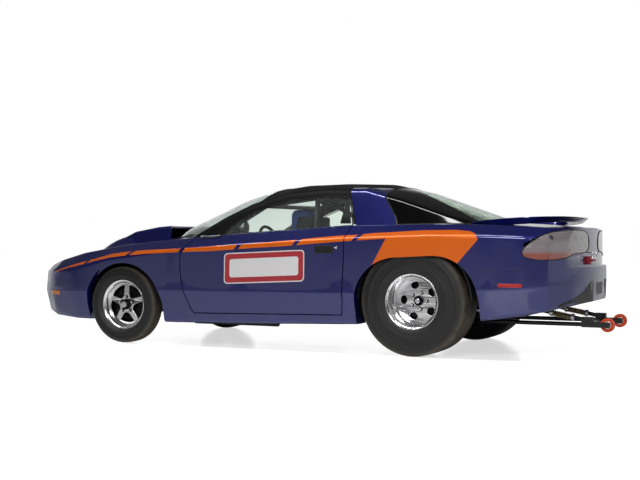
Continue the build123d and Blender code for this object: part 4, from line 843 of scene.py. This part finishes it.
def laid(name, outline, skin, aim, proud, depth, material, body, slices=(6, 4)):
    """Presses a thin form with this outline onto a surface and rounds its rim."""
    bm = bmesh.new()
    bm.faces.new([bm.verts.new((first, second, 0)) for first, second in outline])
    for axis, across in enumerate(((1, 0, 0), (0, 1, 0))):
        low, high = min(point[axis] for point in outline), max(point[axis] for point in outline)
        for number in range(1, slices[axis]):
            level = low + (high - low) * number / slices[axis]
            bmesh.ops.bisect_plane(bm, geom=bm.verts[:] + bm.edges[:] + bm.faces[:],
                                   plane_co=Vector(across) * level, plane_no=across)
    drawn = bm.verts.layers.float_vector.new("drawn")
    for vert in bm.verts:
        vert[drawn] = vert.co
        vert.co = on_skin(skin, aim, vert[drawn][0], vert[drawn][1], proud - depth)
    raised = bmesh.ops.extrude_face_region(bm, geom=bm.faces[:])
    for vert in (item for item in raised["geom"] if isinstance(item, bmesh.types.BMVert)):
        vert.co = on_skin(skin, aim, vert[drawn][0], vert[drawn][1], proud)
    bmesh.ops.recalc_face_normals(bm, faces=bm.faces)
    rounded(bm, min(0.0015, depth * 0.4))
    shaded(bm)
    return place_piece(name, finished(name, bm), body, material)


def line_on(name, points, skin, aim, proud, radius, material, body, closed=False, steps=6):
    """Lays a fine round bead along a line drawn on a surface."""
    bm = bmesh.new()
    ends = points[1:] + points[:1] if closed else points[1:]
    verts = []
    for (a, b), (c, d) in zip(points, ends):
        for step in range(steps):
            share = step / steps
            verts.append(bm.verts.new(on_skin(skin, aim, a + (c - a) * share, b + (d - b) * share,
                                              proud)))
    if closed:
        verts.append(verts[0])
    else:
        verts.append(bm.verts.new(on_skin(skin, aim, points[-1][0], points[-1][1], proud)))
    for before, after in zip(verts, verts[1:]):
        bm.edges.new((before, after))
    return beaded(name, bm, radius, body, material)


lens, tree, principled = finish_of("smoked_lamp_cover", "#6f6a68", 0.12, 0.0, Coat_Weight=1.0,
                                   Coat_Roughness=0.03)
place = add_node(tree, "ShaderNodeTexCoord")
parts = add_node(tree, "ShaderNodeSeparateXYZ", {0: place.outputs["Object"]})
ribs = add_node(tree, "ShaderNodeTexWave", {"Vector": place.outputs["Object"], "Scale": 22.0,
                                            "Distortion": 1.5}, bands_direction="Z")
tone = add_node(tree, "ShaderNodeValToRGB", {"Fac": ribs.outputs[0]})
tone.color_ramp.elements[0].color = linear("#6c6467")
tone.color_ramp.elements[1].color = linear("#8d868a")
bulbs = add_node(tree, "ShaderNodeTexVoronoi", {"Vector": place.outputs["Object"], "Scale": 11.0,
                                                "Randomness": 0.9})
bulb_edge = add_node(tree, "ShaderNodeMapRange", {"Value": bulbs.outputs["Distance"], "From Min": 0.16,
                                                  "From Max": 0.3, "To Min": 0.85, "To Max": 0.0})
reflector = add_node(tree, "ShaderNodeMix", {0: bulb_edge.outputs[0], 6: tone.outputs[0],
                                             7: linear("#2c2426")}, data_type="RGBA")
foot = add_node(tree, "ShaderNodeMapRange", {"Value": parts.outputs["Z"], "From Min": 0.752,
                                             "From Max": 0.782, "To Min": 1.0, "To Max": 0.0})
blush = add_node(tree, "ShaderNodeMix", {0: foot.outputs[0], 6: reflector.outputs[2],
                                         7: linear("#8a4a40")}, data_type="RGBA")
tree.links.new(blush.outputs[2], principled.inputs["Base Color"])
relief = add_node(tree, "ShaderNodeBump", {"Height": ribs.outputs[0], "Strength": 0.4, "Distance": 0.002})
tree.links.new(relief.outputs[0], principled.inputs["Normal"])
lamp_line = [  # degrees round the tail's corner, height
    (74.7, 0.758), (73.5, 0.791), (70.1, 0.818), (64.0, 0.854), (53.3, 0.893), (42.0, 0.914),
    (21.4, 0.926), (-0.7, 0.929), (-20.1, 0.926), (-29.0, 0.907), (-33.2, 0.865), (-33.6, 0.808),
    (-29.0, 0.764), (-0.7, 0.758), (10.2, 0.752), (22.5, 0.737), (33.0, 0.722), (48.5, 0.715),
    (64.0, 0.719), (71.9, 0.735),
]
sill_line = [(-29.0, 0.764), (-40.0, 0.759)]
lamp_outline = cornered(lamp_line, 0.5)[::2]
tail_skin = skin_of("rear_cover", "tail_lamps", "quarter_panel_left", "quarter_panel_right")
for hand, side in sides:
    lamp_cover = laid(f"lamp_cover_{hand}", lamp_outline, tail_skin, round_tail(side), 0.0025, 0.004,
                      lens, "car_body", (22, 8))
    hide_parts("tail_lamps")
    line_on(f"lamp_gasket_{hand}", lamp_outline, tail_skin, round_tail(side), 0.0015, 0.0036, rubber,
            "car_body", True, 2)
    line_on(f"lamp_sill_gasket_{hand}", sill_line, tail_skin, round_tail(side), 0.0005, 0.003, rubber,
            "car_body")

# Rear bumper: two shallow recessed pockets on each side of the tail, each drawn as a thin satin black
# patch that is painted shade for the pocket's hollow, and the seam where the soft cover meets the
# quarter panel. They stay dull and dark beside the lacquer.
satin_trim, tree, principled = finish_of("satin_black_trim", "#0a0a0b", 0.4)
grain(tree, principled, 0.004, 0.32, 0.5, bump=0.0001)
pocket_outlines = (  # degrees round the tail's corner, height
    [(-20.4, 0.557), (-26.5, 0.545), (-25.0, 0.402), (-12.0, 0.402), (10.0, 0.385), (36.0, 0.378),
     (36.0, 0.395), (5.0, 0.455), (-8.0, 0.490), (-14.0, 0.530)],
    [(-34.0, 0.540), (-43.0, 0.540), (-43.0, 0.450), (-36.0, 0.445)],
)
bumper_seam = [(-1.640, 0.648), (-1.841, 0.652), (-2.000, 0.662), (-2.012, 0.700), (-2.010, 0.722)]  # x, z


def from_side(side):
    """Aims at the car squarely from one side, by length and height."""
    return lambda first, second: (Vector((first, side * 1.2, second)), Vector((0, -side, 0)))


for hand, side in sides:
    for number, outline in enumerate(pocket_outlines):
        # Each pocket is a thin dark patch, painted shade in the bumper's recess.
        laid(f"bumper_pocket_shade_{number}_{hand}", cornered(outline, 0.3), tail_skin, round_tail(side),
             0.0012, 0.003, satin_trim, "car_body", (14, 6))
    line_on(f"bumper_seam_{hand}", bumper_seam, tail_skin, from_side(side), -0.0006, 0.0017, rubber,
            "car_body")


# Side markers: red lamps on the rear bumper and amber ones on the nose, clear coloured plastic with a
# glossy face, each pushed into its panel. They stand a few millimetres proud, so their edges catch the
# light.
def rounded_box(low, high, corner):
    """Gives a rounded rectangle's outline."""
    (a, b), (c, d) = low, high
    made = []
    for x, y, start in ((c - corner, d - corner, 0), (a + corner, d - corner, 90),
                        (a + corner, b + corner, 180), (c - corner, b + corner, 270)):
        made += [(x + corner * math.cos(math.radians(start + turn)),
                  y + corner * math.sin(math.radians(start + turn))) for turn in (0, 30, 60, 90)]
    return made


red_lens, tree, principled = finish_of("red_marker_lens", "#a81e1e", 0.2, 0.0, Coat_Weight=0.6)
grain(tree, principled, 0.006, 0.14, 0.3)
amber_lens, tree, principled = finish_of("amber_marker_lens", "#c76a12", 0.2, 0.0, Coat_Weight=0.6)
grain(tree, principled, 0.006, 0.14, 0.3)
rear_marker = rounded_box((-1.977, 0.523), (-1.806, 0.549), 0.010)
front_marker = rounded_box((2.098, 0.384), (2.215, 0.418), 0.010)
nose_skin = {hand: skin_of("nose_cover", f"fender_{hand}") for hand, side in sides}
for hand, side in sides:
    laid(f"rear_marker_{hand}", rear_marker, tail_skin, from_side(side), 0.003, 0.006, red_lens,
         "car_body")
    laid(f"front_marker_{hand}", front_marker, nose_skin[hand], from_side(side), 0.004, 0.010, amber_lens,
         "car_body", (18, 6))

# Nose seams: the gap between the soft nose cover and each fender, and the edge of each flush headlamp
# cover above it. Both show as thin dark lines in the paint.
nose_seam = [(1.745, 0.494), (1.80, 0.503), (2.00, 0.512), (2.08, 0.520), (2.13, 0.545)]  # x, z
headlamp_line = [(2.095, 0.618), (2.00, 0.655), (1.86, 0.690)]
for hand, side in sides:
    line_on(f"nose_seam_{hand}", nose_seam, nose_skin[hand], from_side(side), -0.0006, 0.0017, rubber,
            "car_body")
    line_on(f"headlamp_line_{hand}", headlamp_line, nose_skin[hand], from_side(side), -0.0006, 0.0014,
            rubber, "car_body")

# Door trim: a satin black handle flap on its plate with a bright lock behind it, a crease pressed along
# the skin, and black sails that fill the corners of the window. All of it swings with the door.
handle_plate = rounded_box((-0.543, 0.756), (-0.388, 0.813), 0.012)
handle_flap = rounded_box((-0.533, 0.781), (-0.398, 0.807), 0.007)
handle_lock = circle_points(0.011, 16, (-0.566, 0.800))
door_crease = [(0.785, 0.462), (0.405, 0.468), (-0.226, 0.490), (-0.600, 0.504)]
mirror_sail = cornered([(0.725, 0.882), (0.507, 0.882), (0.519, 1.005)], 0.06)
rear_sail = cornered([(-0.548, 1.215), (-0.612, 0.982), (-0.520, 0.982)], 0.06)
for hand, side in sides:
    door, aim = f"door_{hand}", from_side(side)
    door_skin, window_skin = skin_of(door), skin_of(door, f"door_glass_{hand}")
    laid(f"handle_plate_{hand}", handle_plate, door_skin, aim, 0.0012, 0.003, satin_trim, door)
    laid(f"handle_flap_{hand}", handle_flap, door_skin, aim, 0.004, 0.003, satin_trim, door)
    laid(f"handle_lock_{hand}", handle_lock, door_skin, aim, 0.003, 0.004, polished, door)
    line_on(f"door_crease_{hand}", door_crease, door_skin, aim, -0.002, 0.0024, body_paint, door)
    laid(f"mirror_sail_{hand}", mirror_sail, window_skin, aim, 0.003, 0.004, satin_trim, door)
    laid(f"rear_sail_{hand}", rear_sail, window_skin, aim, 0.003, 0.004, satin_trim, door)

# Hood fairing: the long low ramp in front of the scoop, laid up in glass fibre and bonded to the hood, in
# the body's lacquer. It is bridged from sections across the car, and the hood carries it.
ramp_stations = [  # x, skirt, shoulder, top
    (2.055, 0.748, 0.772, 0.780), (1.99, 0.755, 0.806, 0.826), (1.92, 0.772, 0.836, 0.857),
    (1.85, 0.785, 0.858, 0.881), (1.78, 0.797, 0.872, 0.898), (1.70, 0.810, 0.880, 0.908),
]
ramp_rings = []
for x, skirt, shoulder, top in ramp_stations:
    half = ((0.0, top + 0.003), (0.20, top), (0.275, (top + shoulder) / 2 + 0.004),
            (0.315, shoulder - 0.012), (0.355, skirt + 0.012), (0.385, skirt), (0.38, skirt - 0.012))
    ramp_rings.append([(x, across, up) for across, up in reversed(half)]
                      + [(x, -across, up) for across, up in half[1:]])
fairing = place_piece("hood_fairing", lofted("hood_fairing", ramp_rings), "hood", body_paint)

# Tachometer: a spun aluminium can clamped to the dashboard in front of the driver, with a dark dial
# towards the seat. The spinning leaves fine rings, so the can shines in soft streaks.
brushed, tree, principled = finish_of("spun_aluminium_can", "#a4a5a8", 0.35, 1.0)
grain(tree, principled, 0.004, 0.28, 0.42, stretch=(8, 1, 1))
can_section = [  # along, radius
    (0.0, 0.0), (0.0, 0.054), (0.008, 0.058), (0.018, 0.058), (0.026, 0.053), (0.040, 0.055),
    (0.054, 0.051), (0.068, 0.053), (0.082, 0.049), (0.100, 0.050), (0.135, 0.040), (0.170, 0.030),
    (0.180, 0.022), (0.180, 0.0),
]
bm = bmesh.new()
line = [bm.verts.new((along, 0, up)) for along, up in can_section]
edges = [bm.edges.new(pair) for pair in zip(line, line[1:])]
bmesh.ops.spin(bm, geom=line + edges, cent=(0, 0, 0), axis=(1, 0, 0), angle=2 * math.pi, steps=40,
               use_merge=True)
bmesh.ops.remove_doubles(bm, verts=bm.verts, dist=0.00001)
bmesh.ops.recalc_face_normals(bm, faces=bm.faces)
shaded(bm, 0.6)
for face in bm.faces:
    face.material_index = int(face.calc_center_median().x < 0.0005)
bmesh.ops.translate(bm, verts=bm.verts, vec=(0.535, 0.35, 0.957))
mesh = finished("tachometer_can", bm)
mesh.materials.append(brushed)
mesh.materials.append(satin_trim)
place_piece("tachometer_can", mesh, "car_body")

# Wheelie bar's ends: coil springs in yellow zinc plate wound round the upper tubes, aluminium collars
# that hold them, and turned hubs in the rollers. The plate has a thin golden sheen and the turned parts
# are bright.
plated, tree, principled = finish_of("yellow_zinc_plate", "#a89468", 0.3, 1.0)
grain(tree, principled, 0.004, 0.22, 0.4)
coils, coil_steps, spring_length, spring_radius, wire_radius = 11, 14, 0.150, 0.0215, 0.0036
collar_radius, collar_width = 0.026, 0.024
for hand, side in sides:
    tube_end, tube_start = Vector((-2.256, side * 0.25, 0.270)), Vector((-1.28, side * 0.25, 0.455))
    run = (tube_end - tube_start).normalized()
    turn = Vector((1, 0, 0)).rotation_difference(run).to_matrix().to_4x4()
    start = tube_end - run * 0.225
    bm = bmesh.new()
    wire_section = circle_points(wire_radius, 6, (0, spring_radius))
    ring = [bm.verts.new((across, 0, up)) for across, up in wire_section]
    loop = [bm.edges.new((ring[i - 1], ring[i])) for i in range(len(ring))]
    steps = coils * coil_steps
    bmesh.ops.spin(bm, geom=ring + loop, cent=(0, 0, 0), axis=(1, 0, 0),
                   dvec=(spring_length / steps, 0, 0), angle=coils * 2 * math.pi, steps=steps,
                   use_merge=False)
    bmesh.ops.recalc_face_normals(bm, faces=bm.faces)
    shaded(bm)
    spring = finished(f"bar_spring_{hand}", bm)
    spring.transform(Matrix.Translation(start) @ turn)
    place_piece(f"bar_spring_{hand}", spring, "car_body", plated)
    for number, reach in enumerate((-0.006, spring_length + 0.006)):
        collar = round_bar(0, 0, 0, collar_radius, collar_width, 0, polished, 24, 0.003)
        along_tube = Matrix.Rotation(math.pi / 2, 4, "Z")
        collar.transform(Matrix.Translation(start + run * reach) @ turn @ along_tube)
        place_piece(f"bar_collar_{number}_{hand}", collar, "car_body")
    low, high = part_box(f"roller_{hand}")
    middle = (low + high) / 2
    for way, facing_side in (("out", 1), ("in", -1)):
        hub = round_bar(middle.x, middle.y + facing_side * 0.0145, middle.z, 0.027, 0.0015, facing_side,
                        polished, 24, 0.0005)
        place_piece(f"roller_hub_{hand}_{way}", hub, f"roller_{hand}")

# Battery switch's ring: a bright steel pull ring that hangs on the red lever, bent from round wire. It is
# polished like the rims and keeps small flat facets, so it glints as a thin bright loop.
low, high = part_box("kill_switch")
pull_ring = spun("pull_ring", circle_points(0.0022, 8, (0, 0.022)), low.x + 0.004, high.y + 0.004,
                 high.z + 0.010, 32)
pull_ring.shade_flat()
place_piece("pull_ring", pull_ring, "car_body", polished)

# Head pad: a foam cushion in blue vinyl, tied to the cage beside the driver's head. Stretched vinyl has a
# fine grain and a soft shine.
vinyl, tree, principled = finish_of("blue_vinyl_pad", "#1d4fa8", 0.5)
grain(tree, principled, 0.006, 0.42, 0.6, bump=0.0003)
pad = flat_form("head_pad", [rounded_box((-0.065, -0.07), (0.065, 0.07), 0.03)], 0.16, 0.02)
pad.transform(Matrix(((1, 0, 0, -0.003), (0, 0, 1, 0.33), (0, 1, 0, 1.01), (0, 0, 0, 1))))
pad.flip_normals()
place_piece("head_pad", pad, "car_body", vinyl)
